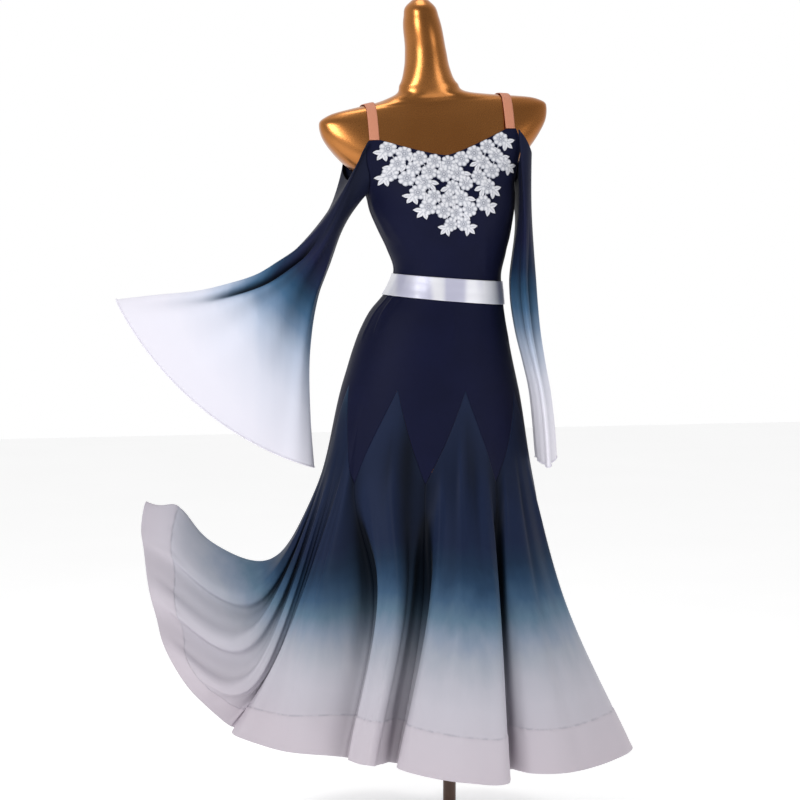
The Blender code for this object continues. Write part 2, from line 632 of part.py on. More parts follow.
def make_straps(tree):
    """Shoulder straps over the form, from the front peak to the back peak."""
    skin = finish("skin elastic", SKIN)
    for name, hand in (("strap_right", -1), ("strap_left", 1)):
        front = form_point(hand * STRAP_TURN, NECK_PEAK)
        back = form_point(hand * (180 - STRAP_TURN), NECK_PEAK)
        outer, inner = [], []
        for share in np.linspace(0, 1, 25):
            swing = math.pi * (share - 0.5)
            rest = 4 * abs(share - 0.5) ** 2
            gap = STRAP_GAP + (FORM_CLEARANCE - STRAP_GAP) * rest ** 3
            outer_row, inner_row = [], []
            for side in (-0.5, 0.0, 0.5):
                origin = Vector((front[0] + (back[0] - front[0]) * share + side * STRAP_WIDTH,
                                 0.5 * (front[1] + back[1]), front[2] + NECK_LIFT))
                aim = Vector((0, math.sin(swing), math.cos(swing)))
                hit, normal, _, _ = tree.ray_cast(origin + aim * 0.3, -aim)
                inner_row.append(hit + normal * gap)
                outer_row.append(hit + normal * (gap + STRAP_CLOTH))
            outer.append(outer_row)
            inner.append(inner_row)
        wall(name, np.array(outer), np.array(inner), False, skin)


FLOWER_SPACING = 0.0268
FLOWER_ROW = 0.0238
FLOWER_RADIUS = 0.0160
FLOWER_PETALS = 6
FLOWER_NOTCH = 0.88
LEAF_LENGTH = 0.017
LEAF_WIDTH = 0.0085
LACE_ROWS = 7
LACE_REACH = 0.116
OPEN_PLACES = {(1, 1), (2, -1), (2, 3), (3, 1), (4, -1)}


def neck_height(across):
    """Level of the neckline at a distance from the front's middle."""
    return NECK_LOW + (NECK_PEAK - NECK_LOW) * (min(abs(across) / 0.115, 1)) ** 1.4


def lace_half_width(level):
    """Half width of the applique's pointed shape at a level."""
    return LACE_HALF_WIDTH * (level - LACE_APEX) / (LACE_SHOULDER - LACE_APEX)


def lace_places():
    """Middles of the flowers by row and number, as across and level."""
    places = {}
    for row in range(LACE_ROWS):
        for number in range(-6, 7):
            across = (number + 0.5 * (row % 2)) * FLOWER_SPACING
            level = neck_height(across) - 0.015 - row * FLOWER_ROW
            inside = abs(across) < min(lace_half_width(level) + 0.001, LACE_REACH)
            if inside and (row, number) not in OPEN_PLACES:
                places[row, number] = (across, level)
    return places


def petals(across, level, turn):
    """Outline of one flower."""
    points = []
    for step in range(2 * FLOWER_PETALS):
        radius = FLOWER_RADIUS * (1 if step % 2 == 0 else FLOWER_NOTCH)
        angle = turn + math.pi * step / FLOWER_PETALS
        points.append((across + radius * math.cos(angle), level + radius * math.sin(angle)))
    return points


def leaf(across, level, angle):
    """Outline of one pointed leaf that starts at a point."""
    points = []
    for along, aside in ((0, 0), (0.4, -0.5), (1, 0), (0.4, 0.5)):
        x = along * LEAF_LENGTH
        y = aside * LEAF_WIDTH
        points.append((across + x * math.cos(angle) - y * math.sin(angle),
                       level + x * math.sin(angle) + y * math.cos(angle)))
    return points


def lace_outlines():
    """Every flower, bar and leaf of the applique as flat outlines."""
    places = lace_places()
    outlines = []
    for (row, number), (across, level) in places.items():
        outlines.append(petals(across, level, 0.7 * row + 1.9 * number))
        for hand in (-1, 1):
            beside = (row, number + hand)
            if row > 0 and beside not in places and beside not in OPEN_PLACES:
                for swing in (-0.95, 0.0, 0.95):
                    angle = -math.pi / 2 + hand * 0.75 + swing
                    root = (across + hand * 0.0085, level - 0.006)
                    outlines.append(leaf(*root, angle))
    return outlines, places


def make_lace(front):
    """The flower and leaf applique, one flat layer bent over the bodice front."""
    outlines, places = lace_outlines()
    points = []
    faces = []
    for outline in outlines:
        faces.append(list(range(len(points), len(points) + len(outline))))
        points += [Vector(point) for point in outline]
    middles = [Vector(point) for point in places.values()]
    points += middles
    flat, _, parts, _, _, sources = delaunay_2d_cdt(points, [], faces, 0, 1e-6)
    kept = [part for part, source in zip(parts, sources) if source]
    used = sorted({corner for part in kept for corner in part})
    order = {corner: place for place, corner in enumerate(used)}
    kept = [[order[corner] for corner in part] for part in kept]
    flat = [flat[corner] for corner in used]
    rims = {}
    for part in kept:
        for near, far in zip(part, part[1:] + part[:1]):
            rims[near, far] = True
    rims = [edge for edge in rims if (edge[1], edge[0]) not in rims]
    tree = surface_of(front)
    under, over = [], []
    for point in flat:
        level = point.y
        width = float(curve(FORM[:, 0], FORM[:, 1:], level)[1])
        turn = math.degrees(math.asin(max(-1, min(1, point.x / width))))
        level = min(level, float(bodice_top(turn)) - (LACE_MARGIN if abs(turn) < 31 else 5 * LACE_MARGIN))
        high = Vector(garment(turn, level, 0.03).tolist())
        foot = Vector(garment(turn, level, 0.0).tolist())
        aim = (foot - high).normalized()
        hit, _, _, _ = tree.ray_cast(high, aim)
        middle = min((point - other).length for other in middles) < 1e-5
        under.append(hit - aim * LACE_GAP)
        over.append(hit - aim * (LACE_GAP + LACE_CLOTH * (2 if middle else 1)))
    count = len(flat)
    solid = [[corner + count for corner in part] for part in kept]
    solid += [list(reversed(part)) for part in kept]
    solid += [[near, far, far + count, near + count] for near, far in rims]
    add_solid("lace", under + over, solid, finish("white lace", WHITE), flat=True)


def main():
    """Clear the scene and make every piece."""
    for item in list(bpy.data.objects):
        bpy.data.objects.remove(item)
    torso = make_form()
    front = make_bodice()
    make_belt()
    make_yoke()
    make_godets()
    skin_of_form = surface_of(torso)
    make_sleeves(skin_of_form)
    make_straps(skin_of_form)
    make_lace(front)


main()
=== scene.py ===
# %% [markdown]
# # Ballroom dance dress on a dress form
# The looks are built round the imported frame: every garment piece is a thin cloth shell on the same
# tables of sizes as its solid, with finer folds, hems, seams, lace and dyed shading.

import math

import bpy
import numpy as np
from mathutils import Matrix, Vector


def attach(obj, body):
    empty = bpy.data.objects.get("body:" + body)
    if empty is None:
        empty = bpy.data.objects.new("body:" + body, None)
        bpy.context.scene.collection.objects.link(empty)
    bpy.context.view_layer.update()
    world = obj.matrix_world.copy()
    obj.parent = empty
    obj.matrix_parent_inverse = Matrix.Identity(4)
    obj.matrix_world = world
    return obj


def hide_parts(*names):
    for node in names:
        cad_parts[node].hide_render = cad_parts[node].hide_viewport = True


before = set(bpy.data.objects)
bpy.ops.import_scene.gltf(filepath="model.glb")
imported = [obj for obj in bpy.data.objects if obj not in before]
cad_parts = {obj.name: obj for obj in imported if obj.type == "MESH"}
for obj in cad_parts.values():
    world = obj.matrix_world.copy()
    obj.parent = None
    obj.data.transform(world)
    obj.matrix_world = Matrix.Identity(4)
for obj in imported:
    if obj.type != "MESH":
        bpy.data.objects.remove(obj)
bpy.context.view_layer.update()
print("frame nodes:", len(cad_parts))

# %% [markdown]
# ## Sizes
# All sizes are in metres and all turns in degrees, unless a comment says otherwise. They are the ones
# that the solids were made with, so that each shell lies on its solid.

# %% Driving sizes
FORM_CLEARANCE = 0.0025
CLOTH = 0.0020
GARMENT_LIFT = FORM_CLEARANCE + CLOTH
SEAM = 0.0003
FORM_BOTTOM = 0.742
FORM_TAPER = (0.84, 0.915, 0.935, 0.955, 0.975, 0.99)
WAIST_SEAM = 1.0985
BELT_BOTTOM = 1.0755
BELT_TOP = 1.1210
BELT_LIFT = GARMENT_LIFT + 0.0026
PEAK_LEVEL = 0.905
POINT_LEVEL = 0.720
HEM_BAND = 0.086
HEM_RAISE = 0.0012
STRAP_WIDTH = 0.019
STRAP_LIFT = 0.0026
SLEEVE_OVERLAP = 0.004
SLEEVE_LIFT = GARMENT_LIFT + 0.0036
SLEEVE_DEPTH = 0.0110
SLEEVE_TIP_GAP = 0.8
STRAP_TURN = 36.0
STRAP_HALF_TURN = 3.2
NECK_PEAK = 1.403
NECK_LOW = 1.362
BACK_NECK_LOW = 1.335
ARMPIT_LEVEL = 1.303
OFF_SHOULDER_LEVEL = 1.343
# The shape of the neckline: how far to the side it rises, and how it curves on the way
NECK_REACH = 0.115
NECK_CURVE = 1.4
# In radians: the plane of the swept train and sleeve is turned away from the figure's own
SPREAD_TURN = math.radians(14)
SHELL = 0.0014
STRAP_SHELL = 0.0012
print(f"belt {BELT_TOP - BELT_BOTTOM:.3f} m high, waist seam at {WAIST_SEAM:.3f} m")

# %% [markdown]
# ## The dress form's sections
# Each row is one level section: a squared ellipse with its own front and back depth, tilted by a
# few degrees where the hip and the shoulders tilt. The bust is one soft mound each side.

# %% Tables of the dress form
# level, centre x, half width, front depth, back depth, roll in degrees, squareness
FORM = np.array([
    (0.700, -0.047, 0.216, 0.130, 0.150, 0.0, 2.0),
    (0.736, -0.046, 0.208, 0.126, 0.148, 0.0, 2.0),
    (0.788, -0.044, 0.197, 0.121, 0.145, -1.0, 2.1),
    (0.834, -0.043, 0.189, 0.118, 0.143, -1.5, 2.1),
    (0.888, -0.040, 0.178, 0.115, 0.140, -2.0, 2.1),
    (0.926, -0.038, 0.168, 0.111, 0.133, -2.5, 2.1),
    (0.968, -0.036, 0.157, 0.105, 0.121, -3.0, 2.1),
    (1.010, -0.032, 0.145, 0.098, 0.108, -3.5, 2.1),
    (1.046, -0.025, 0.132, 0.091, 0.098, -4.0, 2.1),
    (1.074, -0.015, 0.118, 0.086, 0.089, -4.5, 2.1),
    (1.100, -0.009, 0.109, 0.082, 0.083, -4.5, 2.1),
    (1.130, -0.006, 0.104, 0.080, 0.080, -4.0, 2.1),
    (1.176, -0.008, 0.116, 0.084, 0.083, -2.0, 2.1),
    (1.218, -0.012, 0.129, 0.090, 0.087, 1.0, 2.2),
    (1.262, -0.017, 0.141, 0.095, 0.091, 3.5, 2.2),
    (1.305, -0.022, 0.147, 0.090, 0.092, 5.0, 2.3),
    (1.343, -0.026, 0.168, 0.080, 0.090, 5.0, 2.4),
    (1.362, -0.028, 0.188, 0.075, 0.088, 5.0, 2.4),
    (1.388, -0.030, 0.210, 0.067, 0.083, 5.0, 2.5),
    (1.418, -0.032, 0.228, 0.057, 0.074, 5.0, 2.5),
    (1.440, -0.034, 0.232, 0.048, 0.064, 5.0, 2.5),
    (1.455, -0.035, 0.222, 0.041, 0.055, 5.0, 2.4),
    (1.464, -0.036, 0.196, 0.037, 0.050, 5.0, 2.3),
    (1.470, -0.037, 0.158, 0.035, 0.047, 5.0, 2.2),
    (1.476, -0.038, 0.116, 0.035, 0.047, 5.0, 2.1),
    (1.484, -0.041, 0.080, 0.037, 0.047, 4.0, 2.0),
    (1.505, -0.045, 0.058, 0.039, 0.046, 2.0, 2.0),
    (1.535, -0.048, 0.046, 0.040, 0.044, 0.0, 2.0),
    (1.570, -0.051, 0.041, 0.039, 0.042, 0.0, 2.0),
    (1.636, -0.060, 0.035, 0.035, 0.036, 0.0, 2.0),
    (1.658, -0.062, 0.028, 0.028, 0.028, 0.0, 2.0),
    (1.669, -0.062, 0.016, 0.016, 0.016, 0.0, 2.0),
])
# side offset, level, spread across, spread up, rise
BUST = (0.072, 1.256, 0.042, 0.040, 0.017)
print(f"form: {len(FORM)} sections up to {FORM[-1, 0]:.3f} m")

# %% [markdown]
# ## The skirt's folds
# Straight folds are given by their turn at the hip and their turn, radius and height at the hem.
# The train's folds are given by a belly point and a hem point in a plane turned by 14 degrees.

# %% Tables of the skirt
# turn at the hip, turn at the hem, radius at the hem, height of the hem
FALLING_FOLDS = (
    (-54.0, -49.0, 0.300, 0.205), (-44.0, -43.2, 0.328, 0.206), (-31.5, -38.0, 0.345, 0.205),
    (-20.0, -32.5, 0.342, 0.204), (-10.0, -29.0, 0.296, 0.203), (-1.0, -25.0, 0.344, 0.200),
    (6.0, -15.6, 0.386, 0.195), (13.0, -6.0, 0.416, 0.190), (22.0, 4.4, 0.427, 0.187),
    (32.0, 10.0, 0.335, 0.195), (40.0, 15.6, 0.376, 0.190), (48.0, 26.0, 0.402, 0.188),
    (58.0, 45.0, 0.400, 0.188), (68.0, 66.0, 0.402, 0.188), (78.0, 79.0, 0.345, 0.190),
    (88.0, 90.0, 0.386, 0.188), (101.0, 101.0, 0.402, 0.186), (113.0, 113.0, 0.396, 0.187),
    (124.0, 123.0, 0.335, 0.190), (134.0, 133.0, 0.384, 0.188), (147.0, 146.0, 0.402, 0.186),
    (158.0, 158.0, 0.392, 0.187), (170.0, 168.0, 0.328, 0.190), (180.0, 178.0, 0.384, 0.188),
    (192.0, 190.0, 0.404, 0.188), (203.0, 202.0, 0.392, 0.190), (213.0, 211.0, 0.345, 0.195),
)
# turn at the hip, pleat at the thigh, side, outward and height of the belly and of the hem
TRAIN_FOLDS = (
    (219.0, 0.002, -0.270, -0.200, 0.470, -0.345, -0.290, 0.215),
    (225.0, 0.003, -0.310, -0.180, 0.460, -0.440, -0.250, 0.285),
    (232.0, 0.003, -0.340, -0.150, 0.470, -0.520, -0.190, 0.400),
    (237.0, 0.003, -0.355, -0.110, 0.500, -0.575, -0.120, 0.530),
    (249.0, 0.003, -0.360, -0.060, 0.535, -0.605, -0.055, 0.630),
    (260.0, 0.003, -0.362, -0.015, 0.552, -0.612, -0.015, 0.668),
    (265.0, 0.003, -0.385, 0.052, 0.505, -0.618, 0.022, 0.622),
    (269.0, 0.001, -0.376, 0.046, 0.468, -0.611, 0.040, 0.575),
    (273.0, 0.002, -0.390, 0.088, 0.426, -0.600, 0.072, 0.512),
    (277.5, 0.001, -0.376, 0.074, 0.392, -0.585, 0.070, 0.450),
    (283.0, 0.002, -0.384, 0.102, 0.350, -0.566, 0.092, 0.390),
    (286.5, 0.000, -0.356, 0.092, 0.352, -0.520, 0.080, 0.308),
    (289.5, 0.000, -0.338, 0.088, 0.384, -0.456, 0.050, 0.238),
    (292.5, 0.000, -0.316, 0.096, 0.420, -0.432, 0.042, 0.221),
    (295.5, 0.001, -0.306, 0.120, 0.456, -0.432, 0.066, 0.212),
    (299.0, 0.003, -0.292, 0.140, 0.470, -0.382, 0.150, 0.210),
    (302.5, 0.001, -0.255, 0.165, 0.485, -0.312, 0.235, 0.210),
)
SEAM_TURNS = (-54.0, -10.0, 32.0, 78.0, 124.0, 170.0, 213.0, 260.0)
PEAK_TURNS = (-31.5, 13.0, 58.0, 101.0, 147.0, 192.0, 237.0, 283.0)
SKIRT_CENTRE = np.array((-0.035, 0.0, 0.0))
BELLY_SHARE = 0.60
BELLY_EXTRA = 0.018
BELLY_RISE = 0.310
BELLY_TURN_SHARE = 0.55
THIGH_PLEAT_SHARE = 0.12
MEAN_HEM_RADIUS = 0.37
STATIONS = np.array((-0.078, 0.0, 0.247, 0.558, 1.0))
SKIRT_LENGTH = 0.77
HALF_SEAM_FOLD = -0.015
TRAIN_CORNER = 0.030
# The train is bunched, so there the dye goes by the distance from the point where its folds meet
TRAIN_DYE_START = 0.49
TRAIN_DYE_NEAR = 0.206
TRAIN_DYE_RATE = 1.82
EDGE_ALLOWANCE = 0.0004
BAND_SHARE = 1 - HEM_BAND / SKIRT_LENGTH
print(f"skirt: {len(FALLING_FOLDS)} straight folds and {len(TRAIN_FOLDS)} of the train")

# %% [markdown]
# ## The sleeves' rings
# Both sleeves are bells. Each ring has an upper and a lower edge, a place ahead of the figure's
# plane and a half depth; the last rings also hang down and shift sideways between the two edges.

# %% Tables of the sleeves
# upper edge side and height, lower edge side and height, outward, half depth, drop, shift
SWEPT_SLEEVE = (
    (-0.2300, 1.270, -0.2030, 1.250, 0.045, 0.066, 0.000, 0.000),
    (-0.2620, 1.224, -0.2180, 1.208, 0.047, 0.060, 0.000, 0.000),
    (-0.2990, 1.183, -0.2330, 1.168, 0.050, 0.054, 0.000, 0.000),
    (-0.3400, 1.153, -0.2480, 1.126, 0.052, 0.050, 0.000, 0.000),
    (-0.3860, 1.125, -0.2620, 1.082, 0.054, 0.049, 0.000, 0.000),
    (-0.4520, 1.105, -0.2730, 1.022, 0.056, 0.052, 0.000, 0.000),
    (-0.5080, 1.094, -0.2790, 0.946, 0.058, 0.056, -0.006, -0.004),
    (-0.5820, 1.088, -0.2770, 0.846, 0.060, 0.062, -0.018, -0.014),
    (-0.6600, 1.080, -0.2700, 0.748, 0.062, 0.068, -0.038, -0.030),
)
HANGING_SLEEVE = (
    (0.1610, 1.276, 0.1380, 1.262, -0.032, 0.070, 0.000, 0.000),
    (0.1640, 1.216, 0.1310, 1.208, 0.000, 0.066, 0.000, 0.000),
    (0.1660, 1.156, 0.1220, 1.152, 0.012, 0.064, 0.000, 0.000),
    (0.1700, 1.086, 0.1220, 1.084, 0.020, 0.066, 0.000, 0.000),
    (0.1760, 1.016, 0.1320, 1.018, 0.026, 0.072, 0.000, 0.000),
    (0.1860, 0.950, 0.1480, 0.954, 0.030, 0.080, 0.000, 0.000),
    (0.1960, 0.894, 0.1600, 0.902, 0.032, 0.088, 0.000, 0.000),
    (0.2040, 0.826, 0.1680, 0.836, 0.034, 0.096, 0.000, 0.000),
    (0.2080, 0.770, 0.1740, 0.764, 0.036, 0.100, -0.012, 0.000),
)
print(f"sleeve rings: {len(SWEPT_SLEEVE)} swept, {len(HANGING_SLEEVE)} hanging")

# %% [markdown]
# ## Curves and surfaces
# One cubic curve runs through the rows of a table. The form, the skirt and the sleeves are each a
# function from two numbers to points in space, worked out for whole grids at once.


# %% Curve through the rows of a table
def hermite(start, end, start_slope, end_slope, share):
    """Cubic blend: start, end and their slopes weighted by the four cubic Hermite polynomials."""
    square = share * share
    cube = square * share
    return (start * (2 * cube - 3 * square + 1) + start_slope * (cube - 2 * square + share)
            + end * (3 * square - 2 * cube) + end_slope * (cube - square))


def curve(knots, values, at, calm=True):
    """Cubic curve through rows of values; a calm one is level at its high and low points."""
    knots = np.asarray(knots, float)
    values = np.asarray(values, float)
    at = np.clip(np.asarray(at, float), knots[0], knots[-1])
    step = np.diff(knots)[:, None]
    rise = np.diff(values, axis=0) / step
    slope = np.empty_like(values)
    slope[0] = rise[0]
    slope[-1] = rise[-1]
    slope[1:-1] = (step[1:] * rise[:-1] + step[:-1] * rise[1:]) / (step[1:] + step[:-1])
    if calm:
        slope[1:-1][rise[:-1] * rise[1:] <= 0] = 0
    low = np.clip(np.searchsorted(knots, at, side="right") - 1, 0, len(knots) - 2)
    span = step[low]
    share = ((at - knots[low]) / span[..., 0])[..., None]
    return hermite(values[low], values[low + 1], slope[low] * span, slope[low + 1] * span, share)


def unit(vectors):
    """Vectors divided by their length."""
    return vectors / np.maximum(np.linalg.norm(vectors, axis=-1, keepdims=True), 1e-12)


def smooth(value, low, high):
    """Nought below low, one above high, and 3s squared less 2s cubed between."""
    share = np.clip((np.asarray(value, float) - low) / (high - low), 0, 1)
    return share * share * (3 - 2 * share)


# %% [markdown]
# ## The form's skin
# A level section of the form is neither round nor square, so it is a squared ellipse. The skin could
# be a mesh pushed about by hand. A formula was chosen because every piece of cloth can ask it where
# the skin is.


# %% Points of the form and of what lies on it
def form_point(turn, level):
    """Skin of the form: squared ellipse of the level's row, plus the bust's two Gaussian mounds."""
    turn, level = np.broadcast_arrays(np.asarray(turn, float), np.asarray(level, float))
    row = curve(FORM[:, 0], FORM[:, 1:], level)
    centre, width, front, back, roll, square = np.moveaxis(row, -1, 0)
    across = np.sin(np.radians(turn))
    ahead = np.cos(np.radians(turn))
    scale = (np.abs(across) ** square + np.abs(ahead) ** square) ** (-1 / square)
    x = width * across * scale
    y = -np.where(ahead > 0, front, back) * ahead * scale
    side, height, spread_across, spread_up, rise = BUST
    mound = np.exp(-((level - height) / spread_up) ** 2 / 2)
    mound = mound * np.exp(-((np.abs(x) - side) / spread_across) ** 2 / 2)
    y = y - rise * mound * np.clip(ahead, 0, 1)
    z = level + np.tan(np.radians(roll)) * x
    return np.stack([x + centre, y, z], axis=-1)


def garment(turn, level, lift=GARMENT_LIFT):
    """Skin point plus lift times the skin's normal, the cross product of its two tangents."""
    turn, level = np.broadcast_arrays(np.asarray(turn, float), np.asarray(level, float))
    along = form_point(turn + 0.5, level) - form_point(turn - 0.5, level)
    up = form_point(turn, level + 0.001) - form_point(turn, level - 0.001)
    return form_point(turn, level) + unit(np.cross(along, up)) * np.asarray(lift)[..., None]


OFF_FORM = 9.0


def form_share(points):
    """How far out a point is: one on the skin, less inside and more outside, along a level ray. Above
    and below the form it is OFF_FORM. The second result is the section's centre."""
    level = points[..., 2].copy()
    for _ in range(3):
        row = curve(FORM[:, 0], FORM[:, 1:], level)
        level = points[..., 2] - np.tan(np.radians(row[..., 4])) * (points[..., 0] - row[..., 0])
    row = curve(FORM[:, 0], FORM[:, 1:], level)
    centre, width, front, back, _, square = np.moveaxis(row, -1, 0)
    x = points[..., 0] - centre
    y = points[..., 1]
    depth = np.where(y < 0, front, back)
    share = (np.abs(x / width) ** square + np.abs(y / depth) ** square) ** (1 / square)
    return np.where((level > FORM[-1, 0]) | (level < FORM[0, 0]), OFF_FORM, share), centre


def clear_of_form(points, lift):
    """Points moved level and outwards to the skin's radius plus their lift, where nearer than that."""
    share, centre = form_share(points)
    away = points - np.stack([centre, 0 * centre, points[..., 2]], axis=-1)
    radius = np.linalg.norm(away, axis=-1)
    needed = radius / np.maximum(share, 1e-6) + lift
    moved = points + away * (np.maximum(needed / np.maximum(radius, 1e-6), 1) - 1)[..., None]
    return np.where((share < OFF_FORM)[..., None], moved, points)


def spread(side, outward, height):
    """Point of the turned plane: side and outward turned by 14 degrees about the upright axis."""
    side, outward, height = np.broadcast_arrays(side, outward, height)
    x = side * math.cos(SPREAD_TURN) - outward * math.sin(SPREAD_TURN)
    y = -side * math.sin(SPREAD_TURN) - outward * math.cos(SPREAD_TURN)
    return np.stack([x, y, height], axis=-1)


def round_point(turn, radius, height):
    """Point at a turn and radius about the skirt's centre."""
    turn = np.radians(turn)
    return SKIRT_CENTRE + np.stack([radius * np.sin(turn), -radius * np.cos(turn), height], axis=-1)


# %% [markdown]
# ## The skirt's surface
# Each fold is a line from the hip to the hem, and curves across these lines make the cloth between
# them. A cloth simulation could drape it, but it wouldn't spread the train as it is here.


# %% Folds of the skirt
def fold_rows():
    """Hip turn, thigh pleat, belly point and hem point of every fold, in order round the skirt."""
    hips, pleats, bellies, hems = [], [], [], []
    for hip, hem_turn, radius, height in FALLING_FOLDS:
        hips.append(hip)
        pleats.append(THIGH_PLEAT_SHARE * (radius - MEAN_HEM_RADIUS))
        turn = hip + BELLY_TURN_SHARE * (hem_turn - hip)
        bellies.append(round_point(turn, BELLY_SHARE * radius + BELLY_EXTRA, height + BELLY_RISE))
        hems.append(round_point(hem_turn, radius, height))
    for hip, pleat, side, outward, height, hem_side, hem_outward, hem_height in TRAIN_FOLDS:
        hips.append(hip)
        pleats.append(pleat)
        bellies.append(spread(side, outward, height))
        hems.append(spread(hem_side, hem_outward, hem_height))
    return np.array(hips), np.array(pleats), np.array(bellies), np.array(hems)


HIPS, PLEATS, BELLIES, HEMS = fold_rows()
TRAIN_MIDDLE = spread(-0.196, 0.05, 0.694)
FOLDS = len(HIPS)
WRAP = 3
FOLD_KNOTS = np.arange(-WRAP, FOLDS + WRAP)
print("folds:", FOLDS)


# %% Points of the skirt
def around(rows, turn=0.0):
    """Rows repeated past both ends, so that a curve through them closes."""
    return np.concatenate([rows[-WRAP:] - turn, rows, rows[:WRAP] + turn])


def hip_turn(fold):
    """Turn at the hip of any place in the table of folds, counted on past a whole round."""
    fold = np.asarray(fold, float)
    whole = np.floor(fold / FOLDS)
    turn = curve(FOLD_KNOTS, around(HIPS, 360.0)[:, None], fold - whole * FOLDS)[..., 0]
    return turn + 360.0 * whole


def skirt_point(fold, along):
    """Outer face of the skirt: cubic through hip, peak, thigh, belly and hem points of the fold."""
    fold, along = np.broadcast_arrays(np.asarray(fold, float) % FOLDS, np.asarray(along, float))
    turn = hip_turn(fold)
    pleat = curve(FOLD_KNOTS, around(PLEATS)[:, None], fold, calm=False)
    outward = np.stack([np.sin(np.radians(turn)), -np.cos(np.radians(turn)), 0 * turn], axis=-1)
    points = np.stack([
        garment(turn, PEAK_LEVEL - STATIONS[0] * SKIRT_LENGTH),
        garment(turn, PEAK_LEVEL),
        garment(turn, POINT_LEVEL) + pleat * outward,
        curve(FOLD_KNOTS, around(BELLIES), fold, calm=False),
        curve(FOLD_KNOTS, around(HEMS), fold, calm=False),
    ], axis=-2)
    step = np.diff(STATIONS)[:, None]
    rise = np.diff(points, axis=-2) / step
    inner = (step[1:] * rise[..., :-1, :] + step[:-1] * rise[..., 1:, :]) / (step[1:] + step[:-1])
    slope = np.concatenate([rise[..., :1, :], inner, rise[..., -1:, :]], axis=-2)
    low = np.clip(np.searchsorted(STATIONS, along, side="right") - 1, 0, len(STATIONS) - 2)
    pick = low[..., None, None]
    start = np.take_along_axis(points, pick, axis=-2)[..., 0, :]
    end = np.take_along_axis(points, pick + 1, axis=-2)[..., 0, :]
    start_slope = np.take_along_axis(slope, pick, axis=-2)[..., 0, :]
    end_slope = np.take_along_axis(slope, pick + 1, axis=-2)[..., 0, :]
    span = step[low]
    share = (along[..., None] - STATIONS[low][..., None]) / span
    return hermite(start, end, start_slope * span, end_slope * span, share)


def skirt_normal(fold, along):
    """Outward direction of the skirt: cross product of its tangents down and across."""
    across = skirt_point(fold + 0.04, along) - skirt_point(fold - 0.04, along)
    down = skirt_point(fold, along + 0.004) - skirt_point(fold, along - 0.004)
    return unit(np.cross(down, across))


def level_to_along(level):
    """Share of the way to the hem at a level between the godets' peaks and the yoke's points."""
    return (PEAK_LEVEL - level) / (PEAK_LEVEL - POINT_LEVEL) * STATIONS[2]


def zigzag(turn):
    """Level of the yoke's lower edge: straight lines between the godets' peaks and the points."""
    turns = np.array(SEAM_TURNS + PEAK_TURNS)
    levels = np.array([POINT_LEVEL] * len(SEAM_TURNS) + [PEAK_LEVEL] * len(PEAK_TURNS))
    order = np.argsort(turns)
    turns = np.concatenate([turns[order] - 360, turns[order], turns[order] + 360])
    return np.interp(turn, turns, np.tile(levels[order], 3))


def seam_folds():
    """Place in the table of folds of each seam between godets."""
    gaps = np.abs((HIPS[None, :] - np.array(SEAM_TURNS)[:, None] + 180) % 360 - 180)
    return np.argmin(gaps, axis=1).tolist()


# %% [markdown]
# ## The sleeves' surface
# A sleeve is a tube. Its rings turn from the slanting edge off the shoulder into the wide, flat mouth,
# so the first ring follows the bodice and the others come from the table.


# %% Points of the sleeves
def outer_half(ring):
    """One on the sleeve's outer half and nought on the half at the body: (1 + tanh(4 cos)) / 2."""
    return (1 + np.tanh(4 * np.cos(ring))) / 2


def first_sleeve_ring(hand, ring):
    """Upper edge of a sleeve: along the armhole inside, and off the shoulder outside."""
    swing = 90 - STRAP_TURN - STRAP_HALF_TURN - SLEEVE_TIP_GAP
    turns = hand * (90 - swing * np.sin(ring))
    side = np.where(np.cos(ring) > 0, OFF_SHOULDER_LEVEL, ARMPIT_LEVEL - SLEEVE_OVERLAP)
    top = NECK_PEAK - SLEEVE_OVERLAP
    slant = np.where(np.cos(ring) > 0, np.maximum(np.cos(ring), 0) ** 1.7, np.cos(ring) ** 2)
    return garment(turns, top - (top - side) * slant, SLEEVE_LIFT + SLEEVE_DEPTH * outer_half(ring))


def sleeve_point(table, hand, ring, place):
    """Sleeve: ellipse of the ring's table row, blended into the upper edge above the first ring."""
    rows = np.array(table)
    ring, place = np.broadcast_arrays(ring, place)
    row = curve(np.arange(1, len(rows) + 1), rows, np.clip(place, 1, len(rows)), calm=False)
    up_side, up, low_side, low, outward, depth, drop, shift = np.moveaxis(row, -1, 0)
    middle = (up_side + low_side) / 2 + (up_side - low_side) / 2 * np.cos(ring)
    height = (up + low) / 2 + (up - low) / 2 * np.cos(ring)
    bow = np.sin(ring) ** 2
    point = spread(middle + shift * bow, outward + depth * np.sin(ring), height + drop * bow)
    share = smooth(1 - place, 0, 1)[..., None]
    return point * (1 - share) + first_sleeve_ring(hand, ring) * share


# %% [markdown]
# ## Creases
# A crease is one soft ridge or valley that runs from one place to another across a grid. Each piece
# has its own short table of them, uneven as in real cloth, on the hidden sides too.


# %% Creases and relief
# Shares of a crease's length over which it rises and from which it fades
CREASE_RISE = 0.22
CREASE_FALL = 0.80
# Shading of flat cloth, and how fast it changes with the height of a ridge
FLAT_SHADE = 0.72
RIDGE_SHADE = 0.5


def creases(across, along, table, whole=None):
    """Sum of height * exp(-(distance / half width)^2) * end fade for each row of the table."""
    total = np.zeros(np.broadcast(across, along).shape)
    for start_across, end_across, start, end, half_width, height in table:
        share = (along - start) / (end - start)
        distance = across - (start_across + (end_across - start_across) * np.clip(share, 0, 1))
        if whole:
            distance = (distance + whole / 2) % whole - whole / 2
        fade = smooth(share, 0, CREASE_RISE) * (1 - smooth(share, CREASE_FALL, 1.0))
        total += height * np.exp(-(distance / half_width) ** 2) * fade
    return total


